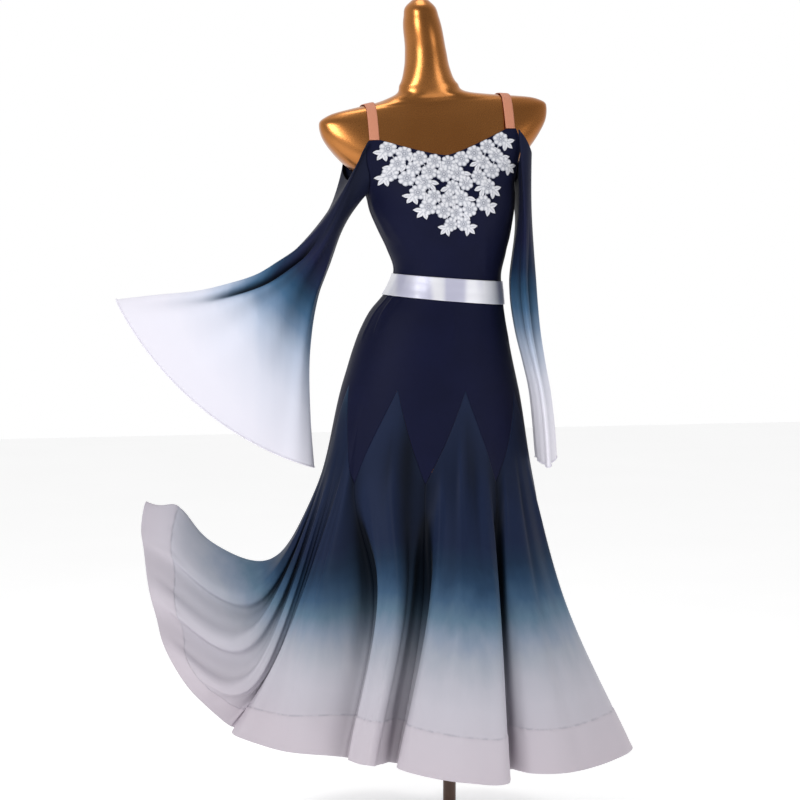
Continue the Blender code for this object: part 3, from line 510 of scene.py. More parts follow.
def relief(points, outwards, reach, scale):
    """Nought in a valley to one on a ridge: height above the mean of the row's neighbours, which
    are the points up to reach columns away on both sides."""
    total = sum(np.roll(points, step, axis=1) for step in range(-reach, reach + 1))
    height = ((points - total / (2 * reach + 1)) * outwards).sum(axis=-1)
    return np.clip(FLAT_SHADE + RIDGE_SHADE * height / scale, 0, 1)


def normals_of(rings):
    """Direction at each point of a tube: cross product of the steps down and round the ring."""
    down = np.gradient(rings, axis=0)
    across = np.roll(rings, -1, axis=1) - np.roll(rings, 1, axis=1)
    return unit(np.cross(down, across))


# %% [markdown]
# ## Shader maths
# A material is a net of nodes. Laid one by one they fill pages, so here a sum on a node's output adds
# its own Math node, and the maths reads like ordinary maths.


# %% Shader maths
class Value:
    """A node's output that can be added, multiplied and so on, each as one Math node."""

    def __init__(self, graph, socket):
        self.graph = graph
        self.socket = socket

    def math(self, kind, other=0.0, turned=False):
        node = self.graph.tree.nodes.new("ShaderNodeMath")
        node.operation = kind
        first, second = (other, self) if turned else (self, other)
        self.graph.put(node.inputs[0], first)
        self.graph.put(node.inputs[1], second)
        return Value(self.graph, node.outputs[0])

    def __add__(self, other):
        return self.math("ADD", other)

    def __sub__(self, other):
        return self.math("SUBTRACT", other)

    def __rsub__(self, other):
        return self.math("SUBTRACT", other, True)

    def __mul__(self, other):
        return self.math("MULTIPLY", other)

    __radd__ = __add__
    __rmul__ = __mul__

    def between(self, low, high):
        """Smooth step from nought at low to one at high."""
        node = self.graph.add("ShaderNodeMapRange", {0: self, 1: low, 2: high})
        node.interpolation_type = "SMOOTHSTEP"
        return Value(self.graph, node.outputs[0])


class Graph:
    """One material's node tree."""

    def __init__(self, name):
        self.material = bpy.data.materials.new(name)
        self.material.use_nodes = True
        self.tree = self.material.node_tree
        self.shader = self.tree.nodes["Principled BSDF"]

    def put(self, socket, value):
        if isinstance(value, Value):
            self.tree.links.new(value.socket, socket)
        else:
            socket.default_value = value

    def add(self, kind, inputs, **settings):
        node = self.tree.nodes.new(kind)
        for key, value in settings.items():
            setattr(node, key, value)
        for key, value in inputs.items():
            self.put(node.inputs[key], value)
        return node

    def attribute(self, name):
        node = self.add("ShaderNodeAttribute", {}, attribute_name=name)
        return Value(self, node.outputs["Fac"])

    def place(self, scale=(1.0, 1.0, 1.0)):
        """Object coordinates, each times its own scale."""
        coordinates = self.add("ShaderNodeTexCoord", {})
        inputs = {0: Value(self, coordinates.outputs["Object"]), 1: scale}
        node = self.add("ShaderNodeVectorMath", inputs, operation="MULTIPLY")
        return Value(self, node.outputs[0])

    def noise(self, scale, detail, vector=None):
        inputs = {"Scale": scale, "Detail": detail, "Vector": vector or self.place()}
        return Value(self, self.add("ShaderNodeTexNoise", inputs).outputs[0])

    def blend(self, first, second, factor):
        """Colour between two, by a factor."""
        node = self.add("ShaderNodeMix", {}, data_type="RGBA")
        self.put(node.inputs["Factor"], factor)
        for number, colour in ((6, first), (7, second)):
            self.put(node.inputs[number], colour if isinstance(colour, Value) else (*colour, 1.0))
        return Value(self, node.outputs[2])

    def shades(self, share, stops):
        """Colour through the stops (share, colour), straight between each two."""
        ramp = self.add("ShaderNodeValToRGB", {0: share})
        elements = ramp.color_ramp.elements
        for number, (place, colour) in enumerate(stops):
            stop = elements[number] if number < 2 else elements.new(place)
            stop.position = place
            stop.color = (*colour, 1.0)
        return Value(self, ramp.outputs[0])

    def bump(self, height, distance, strength):
        inputs = {"Height": height, "Distance": distance, "Strength": strength}
        node = self.add("ShaderNodeBump", inputs)
        self.put(self.shader.inputs["Normal"], Value(self, node.outputs[0]))

    def set(self, **inputs):
        for key, value in inputs.items():
            socket = self.shader.inputs[key.replace("_", " ")]
            if not isinstance(value, Value) and hasattr(value, "__len__") and len(value) == 3:
                value = (*value, 1.0)
            self.put(socket, value)


# %% [markdown]
# ## Colours of the cloth
# The dress is dyed from navy through blue and grey-blue to pale lavender. A plain ramp between two
# colours turns grey on the way, so the ramp has a stop for every step of the dye.

# %% Colours of the cloth
NAVY = (0.0036, 0.0047, 0.0180)
NAVY_LIGHT = (0.0072, 0.0092, 0.0400)
# How far down the cloth, and its colour there
SKIRT_STOPS = (
    (0.00, (0.0100, 0.0165, 0.044)), (0.40, (0.0105, 0.0185, 0.050)),
    (0.455, (0.012, 0.028, 0.062)), (0.50, (0.020, 0.048, 0.098)),
    (0.55, (0.044, 0.092, 0.165)), (0.60, (0.105, 0.175, 0.250)),
    (0.65, (0.225, 0.275, 0.360)), (0.70, (0.34, 0.365, 0.43)),
    (0.76, (0.45, 0.45, 0.51)), (0.82, (0.51, 0.495, 0.555)),
    (1.00, (0.54, 0.495, 0.55)),
)
SLEEVE_STOPS = (
    (0.00, (0.0085, 0.0110, 0.030)), (0.28, (0.0105, 0.0130, 0.045)), (0.38, (0.011, 0.024, 0.062)),
    (0.45, (0.021, 0.062, 0.125)), (0.51, (0.055, 0.125, 0.225)), (0.57, (0.17, 0.255, 0.385)),
    (0.64, (0.46, 0.53, 0.67)), (0.74, (0.70, 0.72, 0.83)), (0.86, (0.80, 0.79, 0.88)),
    (1.00, (0.81, 0.79, 0.87)),
)
HEM_TINT = (0.60, 0.53, 0.58)
# Colour of the painted shade along the hem's stitched seam
SEAM_SHADE_TINT = (0.33, 0.32, 0.38)
# Colour of the painted shade in the cloth's deep folds
PAINTED_SHADE_TINT = (0.0015, 0.0025, 0.0045)
# A band share past the end of the cloth, for cloth without a turned hem
NO_BAND = 1.30
print("colour stops:", len(SKIRT_STOPS), "on the skirt,", len(SLEEVE_STOPS), "on the sleeves")

# %% [markdown]
# ## Stretch crepe
# Bodice and yoke are a matte crepe that swallows light. A single flat colour would look like plastic,
# so slow patches and a fine grain vary its colour, and the grain its roughness and bump too.


# %% Stretch crepe
def stretch_cloth():
    """Matte crepe: fine uneven grain on slightly lighter and darker patches."""
    graph = Graph("navy stretch")
    grain = graph.noise(900.0, 3.0)
    patches = graph.noise(14.0, 3.0)
    graph.set(Base_Color=graph.blend(NAVY, NAVY_LIGHT, patches * 0.5 + grain * 0.25),
              Roughness=0.50 + grain * 0.12, Sheen_Weight=0.03, Sheen_Roughness=0.45,
              Specular_IOR_Level=0.08)
    graph.bump(grain, 0.0004, 0.5)
    return graph.material


# %% [markdown]
# ## Dyed satin
# Godets and sleeves are a soft satin. The dye could follow the height, but on a lifted train that
# would be wrong, so it follows a number that the grid hands over for every point of the cloth. Noise
# moves its edge a little, streaked along the drop, as in cloth that was dipped.


# %% Dyed satin
def dyed_cloth(name, stops, coarse, band):
    """Soft satin dyed along the dye attribute; below the band's share the turned hem shows warmer and
    its stitched seam a little dark by painted shade, broken up by noise; low shade numbers paint shade
    into deep folds."""
    graph = Graph(name)
    cloud = graph.noise(coarse, 4.0)
    streaks = graph.noise(1.0, 3.0, graph.place((34.0, 34.0, 2.2)))
    thread = graph.noise(1.0, 2.0, graph.place((1400.0, 1400.0, 240.0)))
    length = graph.attribute("share")
    share = graph.attribute("dye") + (cloud - 0.5) * 0.030 + (streaks - 0.5) * 0.055
    colour = graph.shades(share, stops)
    hem = length.between(band - 0.001, band + 0.001)
    # Painted shade along the hem's stitched seam, broken up where the stitches gather
    line = length.between(band - 0.006, band) * (1 - length.between(band, band + 0.004))
    gather = graph.noise(60.0, 2.0).between(0.40, 0.62)
    colour = graph.blend(colour, HEM_TINT, hem * 0.30)
    colour = graph.blend(colour, SEAM_SHADE_TINT, line * gather * 0.45)
    # Painted shade: where the shade attribute is low the colour goes toward the shade tint, less on
    # pale cloth
    painted_shading = (1 - graph.attribute("shade")) * (0.92 - share.between(0.50, 0.80) * 0.68)
    colour = graph.blend(colour, PAINTED_SHADE_TINT, painted_shading)
    graph.set(Base_Color=colour, Roughness=0.46 + thread * 0.14, Sheen_Weight=0.03,
              Sheen_Roughness=0.4, Specular_IOR_Level=0.08)
    graph.bump(thread, 0.0003, 0.35)
    return graph.material


# %% [markdown]
# ## Belt satin and strap elastic
# The belt is glossy satin with threads along it, the straps are ribbed skin-coloured elastic. Both are
# too fine to model, so stretched noise gives their threads and ribs.


# %% Belt satin and strap elastic
def satin_cloth():
    """Silver satin: bright, with fine threads along the belt and soft upright bands of painted sheen.
    """
    graph = Graph("silver satin")
    thread = graph.noise(1.0, 3.0, graph.place((260.0, 260.0, 2200.0)))
    # Painted sheen: soft upright bands of lighter and darker satin across the belt
    painted_sheen = graph.noise(1.0, 1.0, graph.place((26.0, 26.0, 2.0)))
    colour = graph.blend((0.50, 0.50, 0.63), (0.78, 0.78, 0.83), painted_sheen.between(0.36, 0.60))
    graph.set(Base_Color=colour,
              Roughness=0.26 + thread * 0.12, Specular_IOR_Level=0.6, Metallic=0.10)
    graph.bump(thread, 0.0003, 0.4)
    return graph.material


def elastic_cloth():
    """Skin-coloured plush elastic with fine ribs along the strap."""
    graph = Graph("skin elastic")
    rib = graph.noise(1.0, 2.0, graph.place((1900.0, 160.0, 160.0)))
    graph.set(Base_Color=graph.blend((0.50, 0.185, 0.105), (0.66, 0.285, 0.175), rib),
              Roughness=0.55 + rib * 0.1, Specular_IOR_Level=0.35)
    graph.bump(rib, 0.0005, 0.6)
    return graph.material


# %% [markdown]
# ## Lace thread
# White corded thread, with painted shade: grey-blue in the hollows between the stitches. The painted
# shade comes from the height of each motif, which the lace hands over as a number.


# %% Lace thread
def lace_thread():
    """White cotton and rayon thread, satin-stitched, darkened to grey-blue by painted shade in its
    hollows.
    """
    graph = Graph("white lace")
    thread = graph.noise(1.0, 2.0, graph.place((1500.0, 1500.0, 1500.0)))
    # Painted shade: low, notched parts of a motif blend toward grey-blue
    painted_shading = graph.attribute("share")
    colour = graph.blend((0.20, 0.22, 0.29), (0.80, 0.80, 0.84), painted_shading * 0.85 + thread * 0.2)
    graph.set(Base_Color=colour, Roughness=0.62 + thread * 0.15, Specular_IOR_Level=0.3,
              Sheen_Weight=0.1)
    graph.bump(thread, 0.0005, 0.6)
    return graph.material


# %% [markdown]
# ## Paint of the form and the stand
# The form is sprayed in gold metallic, the stand in brown enamel. Metal paint takes its looks from
# what it reflects, so its roughness and flecks count for more than its colour.


# %% Paint of the form and the stand
def gold_paint():
    """Gold metallic paint over fibreglass, uneven in depth, under a clear coat."""
    graph = Graph("gold paint")
    cloud = graph.noise(3.2, 3.0)
    fleck = graph.noise(850.0, 2.0)
    colour = graph.blend((0.33, 0.112, 0.024), (0.56, 0.235, 0.070),
                         cloud.between(0.30, 0.70) * 0.6 + fleck * 0.3)
    graph.set(Base_Color=colour, Metallic=1.0, Roughness=0.24 + fleck * 0.08, Coat_Weight=0.1,
              Coat_Roughness=0.12)
    graph.bump(fleck, 0.0002, 0.25)
    return graph.material


def stand_paint():
    """Brown enamel on steel, slightly worn."""
    graph = Graph("brown enamel")
    cloud = graph.noise(30.0, 4.0)
    graph.set(Base_Color=graph.blend((0.050, 0.022, 0.014), (0.13, 0.065, 0.040), cloud),
              Roughness=0.28 + cloud * 0.18, Metallic=0.35, Coat_Weight=0.2)
    graph.bump(cloud, 0.0003, 0.3)
    return graph.material


# %% All materials
STRETCH = stretch_cloth()
SKIRT = dyed_cloth("dyed skirt satin", SKIRT_STOPS, 2.6, BAND_SHARE)
SLEEVES = dyed_cloth("dyed sleeve satin", SLEEVE_STOPS, 4.0, NO_BAND)
SATIN = satin_cloth()
ELASTIC = elastic_cloth()
LACE = lace_thread()
GOLD = gold_paint()
ENAMEL = stand_paint()
print("materials:", len(bpy.data.materials))


# %% [markdown]
# ## From grids to cloth
# The grid is the outer face of a piece, and a Solidify modifier gives it thickness towards the form.
# The flat cut of the cloth is measured along the grid's own rows and columns.


# %% From grids to cloth
def grid_faces(rows, columns, closed):
    """Corner numbers of a grid's faces, row by row."""
    grid = np.arange(rows * columns).reshape(rows, columns)
    if closed:
        grid = np.concatenate([grid, grid[:, :1]], axis=1)
    corners = (grid[:-1, :-1], grid[1:, :-1], grid[1:, 1:], grid[:-1, 1:])
    return np.stack(corners, axis=-1).reshape(-1, 4)


def new_piece(name, points, faces, material, **fields):
    """A smooth mesh piece at the origin that rides on the frame; each field is a number a point."""
    mesh = bpy.data.meshes.new(name)
    mesh.from_pydata(points.reshape(-1, 3).tolist(), [], [list(face) for face in faces])
    for field, values in fields.items():
        values = np.broadcast_to(np.asarray(values, np.float32), points.shape[:-1])
        attribute = mesh.attributes.new(field, "FLOAT", "POINT")
        attribute.data.foreach_set("value", values.ravel())
    mesh.materials.append(material)
    mesh.shade_smooth()
    piece = bpy.data.objects.new(name, mesh)
    bpy.context.scene.collection.objects.link(piece)
    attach(piece, "root")
    return piece


def cut_size(points, closed, upper=None):
    """Widest of the upper rows, longest column and area of a grid, as the flat cut's sizes."""
    ring = np.concatenate([points, points[:, :1]], axis=1) if closed else points
    width = np.linalg.norm(np.diff(ring[:upper], axis=1), axis=-1).sum(axis=1).max()
    length = np.linalg.norm(np.diff(ring, axis=0), axis=-1).sum(axis=0).max()
    face = np.cross(ring[1:, 1:] - ring[:-1, :-1], ring[1:, :-1] - ring[:-1, 1:])
    return float(width), float(length), float(np.linalg.norm(face, axis=-1).sum() / 2)


def cloth(name, node, slot, points, material, held, rests_on, closed=False, shell=SHELL,
          with_pieces=(), upper=None, **fields):
    """A thin cloth shell in place of a solid; the sizes of its flat cut are printed."""
    rows, columns = points.shape[:2]
    piece = new_piece(name, points, grid_faces(rows, columns, closed), material, **fields)
    thicken = piece.modifiers.new("Cloth", "SOLIDIFY")
    thicken.thickness = shell
    thicken.offset = -1
    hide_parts(node)
    width, length, area = cut_size(points, closed, upper)
    print(f"{name}: {rows} x {columns} points, cut {width:.3f} x {length:.3f} m, {area:.3f} m2")


# %% [markdown]
# ## Dress form and stand
# The torso is one smooth shell of the sections above, closed at the neck and under the hips, with
# enough rings to look like one moulded piece. The pole and the base are the frame's own pieces
# with brown enamel, because a round pole and a plate need no finer shape.

# %% Dress form
TORSO_LEVELS = np.concatenate([
    [FORM_BOTTOM, FORM_BOTTOM + 0.004, FORM_BOTTOM + 0.012], np.linspace(0.76, 1.43, 120),
    np.linspace(1.434, 1.52, 60), np.linspace(1.525, 1.655, 30), [1.660, 1.664, 1.667, 1.669]])


def make_torso():
    """Rings of the form, drawn in towards the flat bottom, with a cap at each end."""
    turns = np.arange(0, 360, 2.5)
    rings = form_point(turns[None, :], TORSO_LEVELS[:, None])
    taper_levels = np.concatenate([[FORM_BOTTOM, FORM_BOTTOM + 0.012], FORM[2:6, 0]])
    shrink = np.interp(TORSO_LEVELS, np.append(taper_levels, FORM[6, 0]), (*FORM_TAPER, 1.0))
    middle = rings.mean(axis=1, keepdims=True)
    rings[..., :2] = (middle + (rings - middle) * shrink[:, None, None])[..., :2]
    rings[0, :, 2] = FORM_BOTTOM
    rings = rings[::-1]
    rows, columns = rings.shape[:2]
    faces = grid_faces(rows, columns, True).tolist()
    faces.append(list(range(columns)))
    faces.append(list(range(rows * columns - 1, (rows - 1) * columns - 1, -1)))
    torso = new_piece("dress_form_torso", rings, faces, GOLD)
    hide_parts("form_torso")
    print("torso rings:", rows)


make_torso()
for node in ("form_pole", "form_base"):
    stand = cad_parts[node]
    stand.data.materials.clear()
    stand.data.materials.append(ENAMEL)

# %% [markdown]
# ## Bodice
# Front and back of stretch crepe, sewn at the sides. The upper edge is turned in and stitched, so
# the last 9 mm stand a little proud. A few drag lines run from the bust and into the waist. A copy
# of the form could be pushed outwards, but a grid of its own ends exactly on the neckline.

# %% Bodice
# turn at the top, turn at the bottom, start level, end level (downwards), half width, height
BODICE_CREASES = (
    (-62.0, -48.0, 1.262, 1.150, 5.0, 0.0010), (-30.0, -38.0, 1.235, 1.125, 4.0, 0.0008),
    (24.0, 34.0, 1.230, 1.125, 4.5, 0.0009), (60.0, 46.0, 1.258, 1.140, 5.5, -0.0010),
    (-8.0, 3.0, 1.200, 1.120, 6.0, 0.0007), (74.0, 78.0, 1.300, 1.180, 4.0, 0.0012),
    (-78.0, -72.0, 1.295, 1.190, 4.5, 0.0012), (128.0, 140.0, 1.290, 1.140, 6.0, 0.0014),
    (165.0, 158.0, 1.250, 1.122, 5.0, -0.0012), (188.0, 197.0, 1.280, 1.130, 6.0, 0.0013),
    (232.0, 221.0, 1.290, 1.150, 5.5, 0.0012), (112.0, 106.0, 1.290, 1.160, 4.5, -0.0010),
)


def bodice_top(turn):
    """Level of the upper edge: power curve at the neck, flat strap peaks, curved armholes."""
    away = np.abs((np.asarray(turn, float) + 180) % 360 - 180)
    ahead = np.minimum(away, 180 - away)
    low = np.where(away > 90, BACK_NECK_LOW, NECK_LOW)
    inside = STRAP_TURN - STRAP_HALF_TURN
    outside = STRAP_TURN + STRAP_HALF_TURN
    neck = low + (NECK_PEAK - low) * (np.clip(ahead / inside, 0, 1)) ** NECK_CURVE
    share = np.clip((90 - ahead) / (90 - outside), 0, 1)
    armhole = NECK_PEAK - (NECK_PEAK - ARMPIT_LEVEL) * (1 - share ** 2)
    return np.where(ahead < inside, neck, np.where(ahead > outside, armhole, NECK_PEAK))


# Distances below the upper edge: where the turned-in edge ends, and its stitched groove
TURNED_EDGE = (0.0085, 0.0100)
GROOVE_PLACE = 0.0092
GROOVE_WIDTH = 0.0009
EDGE_HEIGHT = 0.0005
SIDE_SEAM_DEPTH = 0.0006


def bodice_grid(start):
    """Bodice half: levels from the upper edge to the waist seam, lifted by creases and the edge."""
    turns = np.linspace(start + 0.06, start + 179.94, 150)[None, :]
    share = np.linspace(0, 1, 110)[:, None] ** 1.15
    top = bodice_top(turns)
    level = top + (WAIST_SEAM + SEAM / 2 - top) * share
    edge = 1 - smooth(top - level, *TURNED_EDGE)
    groove = np.exp(-((top - level - GROOVE_PLACE) / GROOVE_WIDTH) ** 2)
    side = np.exp(-((np.abs((turns - start) % 180 - 90) - 89.94) / 0.9) ** 2)
    lift = GARMENT_LIFT + creases(turns, level, BODICE_CREASES) + EDGE_HEIGHT * (edge - groove)
    return garment(turns, level, lift - SIDE_SEAM_DEPTH * side)


# %% [markdown]
# ## Belt
# A satin band closed at the back with a lap. A plain strip would do from afar, but satin looks like
# satin only where its face swells and sways, so both are in the shape.


# %% Belt
BELT_SWELL = 0.0006
LAP_HEIGHT = 0.0010


def belt_grid():
    """Band from top to bottom: the lift swells in the middle, with slack waves along the band."""
    turns = np.arange(0, 360, 1.5)[None, :]
    share = np.linspace(0, 1, 34)[:, None]
    level = BELT_TOP + (BELT_BOTTOM - BELT_TOP) * share
    sway = 0.10 * np.sin(np.radians(turns * 2 + 40)) + 0.06 * np.sin(np.radians(turns * 5))
    folds = (0.0003 * np.sin(np.radians(turns * 11 + 200 * sway))
             + 0.0001 * np.cos(2 * math.pi * (share * 2.3 + sway)))
    middle = np.sin(math.pi * share) ** 0.5
    lap = LAP_HEIGHT * smooth(turns, 176, 177.5) * (1 - smooth(turns, 205, 206.5))
    return garment(turns, level, BELT_LIFT + middle * (BELT_SWELL + folds) + lap)


# %% [markdown]
# ## Hip yoke
# Smooth to the hips, with a lower edge of deep points that run down between the godets. A boolean
# cut would leave ragged edges, so the lower rows of the grid run down to the zigzag itself.


# %% Yoke
# fold place at the top, at the bottom, start share, end share, half width, height
YOKE_CREASES = (
    (-3.5, -2.0, 0.02, 0.55, 0.5, 0.0012), (0.5, 0.2, 0.00, 0.50, 0.6, 0.0009),
    (5.0, 6.2, 0.02, 0.60, 0.5, 0.0011), (9.6, 9.0, 0.00, 0.45, 0.6, -0.0010),
    (12.5, 13.4, 0.02, 0.55, 0.5, 0.0012), (17.0, 18.0, 0.02, 0.60, 0.6, 0.0012),
    (22.0, 21.4, 0.02, 0.50, 0.6, -0.0012), (28.0, 27.2, 0.02, 0.60, 0.6, 0.0012),
    (33.0, 34.5, 0.02, 0.55, 0.7, 0.0011), (-6.5, -7.4, 0.02, 0.60, 0.6, 0.0012),
)
# Valleys at and beside the seams, the same on both sides
SEAM_CREASES = (
    (4.0, 4.0, 0.30, 1.25, 0.42, -0.020), (9.0, 9.0, 0.30, 1.25, 0.34, -0.018),
    (14.0, 14.0, 0.30, 1.25, 0.36, -0.014), (18.0, 18.0, 0.30, 1.25, 0.36, -0.014),
    (22.0, 22.0, 0.30, 1.25, 0.36, -0.014), (26.0, 26.0, 0.30, 1.25, 0.36, -0.012),
    (44.0, 44.0, 0.30, 1.25, 0.30, -0.012),
)
# Sides of folds that lie in shadow: places as above, half width and how much they darken
SHADOWS = (
    (2.85, 3.20, -0.06, 0.98, 0.55, 0.88), (8.55, 8.75, 0.10, 1.00, 0.35, 0.40),
    (13.6, 13.7, 0.15, 0.95, 0.35, 0.35), (43.3, 43.5, 0.25, 1.00, 0.45, 0.35),
)
FINE_FOLD = 12
YOKE_ROWS = 38


def yoke_grid(start, end):
    """Yoke part: garment levels down to the peaks, then skirt points down to the zigzag edge."""
    columns = np.linspace(start, end, (end - start) * FINE_FOLD + 1)
    columns[0] += HALF_SEAM_FOLD
    columns[-1] -= HALF_SEAM_FOLD
    turns = hip_turn(columns)[None, :]
    upper = np.linspace(0, 1, YOKE_ROWS)[:, None]
    levels = WAIST_SEAM - SEAM / 2 + (PEAK_LEVEL - WAIST_SEAM + SEAM / 2) * upper
    lift = GARMENT_LIFT + creases(columns[None, :], upper, YOKE_CREASES)
    rows = [garment(turns, levels, lift)]
    lower = np.linspace(0, 1, YOKE_ROWS)[1:, None]
    level = PEAK_LEVEL + (zigzag(turns) - PEAK_LEVEL) * lower
    along = level_to_along(level) + EDGE_ALLOWANCE
    face = skirt_point(columns[None, :], along)
    edge = smooth(lower, 0.93, 1.0)
    rows.append(face - skirt_normal(columns[None, :], along) * 0.0004 * edge[..., None])
    return np.concatenate(rows)


# %% [markdown]
# ## Godets
# Eight flared satin panels. Each has a deep turned-up hem, raised by its own thickness, with a
# puckered seam line above it. Besides the skirt's deep folds, finer ones run up from the hem. They are
# moved by a formula, because a bump in the material alone would vanish at the outline.

# %% Tables of the godets' creases
# fold place at the top, at the bottom, start share, end share, half width, height
GODET_CREASES = (
    (1.2, 0.7, 0.22, 1.15, 0.18, 0.0035), (2.2, 2.5, 0.12, 1.10, 0.22, 0.0040),
    (3.20, 3.1, 0.26, 1.15, 0.40, -0.0120), (4.9, 5.3, 0.16, 1.10, 0.20, 0.0040),
    (6.4, 6.3, 0.08, 0.95, 0.22, 0.0035), (7.4, 7.6, 0.10, 1.15, 0.25, -0.0030),
    (8.3, 8.5, 0.20, 1.15, 0.16, 0.0040), (9.7, 9.5, 0.15, 1.12, 0.18, 0.0045),
    (11.2, 11.4, 0.12, 1.10, 0.22, -0.0035), (12.6, 12.4, 0.16, 1.15, 0.24, 0.0045),
    (13.4, 13.6, 0.25, 1.12, 0.18, -0.0030), (14.6, 14.7, 0.18, 1.12, 0.20, 0.0040),
    (16.3, 16.4, 0.12, 1.12, 0.26, 0.0040), (17.6, 17.4, 0.20, 1.12, 0.20, -0.0040),
    (18.7, 18.8, 0.16, 1.12, 0.22, 0.0045), (20.4, 20.6, 0.14, 1.10, 0.24, -0.0035),
    (21.7, 21.5, 0.20, 1.12, 0.20, 0.0040), (23.3, 23.4, 0.16, 1.12, 0.22, 0.0040),
    (24.6, 24.7, 0.14, 1.12, 0.25, -0.0035), (26.1, 26.0, 0.18, 1.12, 0.22, 0.0040),
    (28.4, 28.2, 0.25, 1.10, 0.30, 0.0050), (29.6, 29.9, 0.22, 1.10, 0.28, -0.0045),
    (31.3, 31.1, 0.20, 1.10, 0.30, 0.0050),
    (33.6, 33.5, 0.25, 1.02, 0.20, 0.0040), (34.5, 34.6, 0.28, 1.02, 0.18, -0.0040),
    (35.5, 35.4, 0.24, 1.02, 0.18, 0.0050), (36.5, 36.6, 0.24, 0.98, 0.16, -0.0045),
    (37.4, 37.6, 0.26, 0.96, 0.16, 0.0045), (38.5, 38.4, 0.22, 1.05, 0.18, -0.0040),
    (39.6, 39.5, 0.22, 1.10, 0.18, 0.0040), (41.4, 41.3, 0.20, 1.12, 0.20, 0.0045),
    (42.5, 42.7, 0.22, 1.12, 0.20, -0.0040),
)


# %% Relief of the godets
PUCKER_HEIGHT = 0.00075
PUCKER_REACH = 0.010
STITCH_DEPTH = 0.0008
STITCH_WIDTH = 0.0022
HEM_EDGE_HEIGHT = 0.0006
HEM_EDGE_REACH = 0.012


def round_creases(fold, along, table):
    """Creases of a table, also where the count of folds has run past either end of a round."""
    return sum(creases(fold + turn, along, table) for turn in (0, FOLDS, -FOLDS))


def godet_lift(fold, along, inside):
    """Lift: creases weighted by inside, plus the hem's step, puckers sin(13 f) + 0.6 sin(23 f) that
    fade as a bell from its seam, and the valleys at the godet's seams. Valleys also come alone."""
    down = (along - BAND_SHARE) * SKIRT_LENGTH
    pucker = np.sin(fold * 13.0 + 1.7 * np.sin(fold * 3.1)) + 0.6 * np.sin(fold * 23.0 + 0.8)
    lift = round_creases(fold, along, GODET_CREASES) * inside
    lift = lift + HEM_RAISE * smooth(down, -0.0010, 0.0014)
    lift = lift + PUCKER_HEIGHT * pucker * np.exp(-(down / PUCKER_REACH) ** 2)
    lift = lift - STITCH_DEPTH * np.exp(-((down + 0.0004) / STITCH_WIDTH) ** 2)
    lift = lift + HEM_EDGE_HEIGHT * smooth(down, HEM_BAND - HEM_EDGE_REACH, HEM_BAND)
    valleys = round_creases(fold, along, SEAM_CREASES)
    return lift + valleys * (1 - 0.35 * smooth(along, 0.85, 1.0)), valleys


# %% [markdown]
# ### Dye and shading of the godets
# The dye goes by the way down the cloth. On the train it goes by the distance from the point where its
# folds meet. Deep folds are dark in real satin, because little light gets in, so a shading number is
# worked out from each point's height above its neighbours.

# %% Dye and shading of the godets
TRAIN_START = (28, 31)
TRAIN_END = (42, 44)
TRAIN_PALE = (0.55, 0.72)
TRAIN_BRIGHTER = 0.6


def godet_paint(fold, along, points, outwards, valleys):
    """Dye and shading number of each point: relief, darker in valleys and in the shadow table."""
    shade = relief(points, outwards, int(1.2 * FINE_FOLD), 0.0022 + 0.0070 * along)
    shade = shade * (1 - 0.5 * smooth(-valleys, 0.004, 0.016))
    shade = shade * (1 - creases(fold % FOLDS, along, SHADOWS))
    away = np.linalg.norm(points - TRAIN_MIDDLE, axis=-1)
    train = smooth(fold % FOLDS, *TRAIN_START) * (1 - smooth(fold % FOLDS, *TRAIN_END))
    by_distance = TRAIN_DYE_START + (away - TRAIN_DYE_NEAR) * TRAIN_DYE_RATE
    dye = along + (by_distance - along) * train
    return dye, shade + (1 - shade) * TRAIN_BRIGHTER * train * smooth(dye, *TRAIN_PALE)


# %% Godets
# Folds that are worked out beyond each side of a godet, for the relief of its outermost columns
SIDE_FOLDS = 2
CORNER_FOLD = 32.0


def godet_grid(start, end):
    """Godet: skirt points from the zigzag to the hem, moved along the normal by the godet's lift. The
    train's corner is raised by a bell about the hem's seam at one fold."""
    beside = SIDE_FOLDS * FINE_FOLD
    count = (end - start) * FINE_FOLD + 2 * beside + 1
    columns = np.linspace(start - SIDE_FOLDS, end + SIDE_FOLDS, count)
    own = slice(beside, -beside)
    columns[beside] += HALF_SEAM_FOLD
    columns[-beside - 1] -= HALF_SEAM_FOLD
    top = level_to_along(zigzag(hip_turn(columns))) + EDGE_ALLOWANCE + 2 * SEAM / SKIRT_LENGTH
    share = np.concatenate([np.linspace(0, 0.80, 84), np.linspace(0.80, 1.0, 45)[1:]])[:, None]
    along = top[None, :] + (1 - top[None, :]) * share
    fold = columns[None, :]
    inside = smooth(columns - start, 0.0, 0.35) * (1 - smooth(columns - end, -0.35, 0.0))
    lift, valleys = godet_lift(fold, along, inside)
    lift = lift * smooth(share, 0.0, 0.06)
    outwards = skirt_normal(fold, along)
    points = skirt_point(fold, along) + outwards * lift[..., None]
    at_seam = np.exp(-((along - BAND_SHARE) / 0.055) ** 2)
    points[..., 2] += TRAIN_CORNER * at_seam * np.exp(-((fold - CORNER_FOLD) / 1.1) ** 2)
    dye, shade = godet_paint(fold, along, points, outwards, valleys)
    return points[:, own], along[:, own], dye[:, own], shade[:, own]


# %% [markdown]
# ## Sleeves
# Bell sleeves of the same satin. The swept one rolls over along its upper edge, with a deep crease
# under the roll; the hanging one falls in layered folds. Each is one closed grid, so that no seam
# has to be hidden, and both come from the same function with tables of their own.

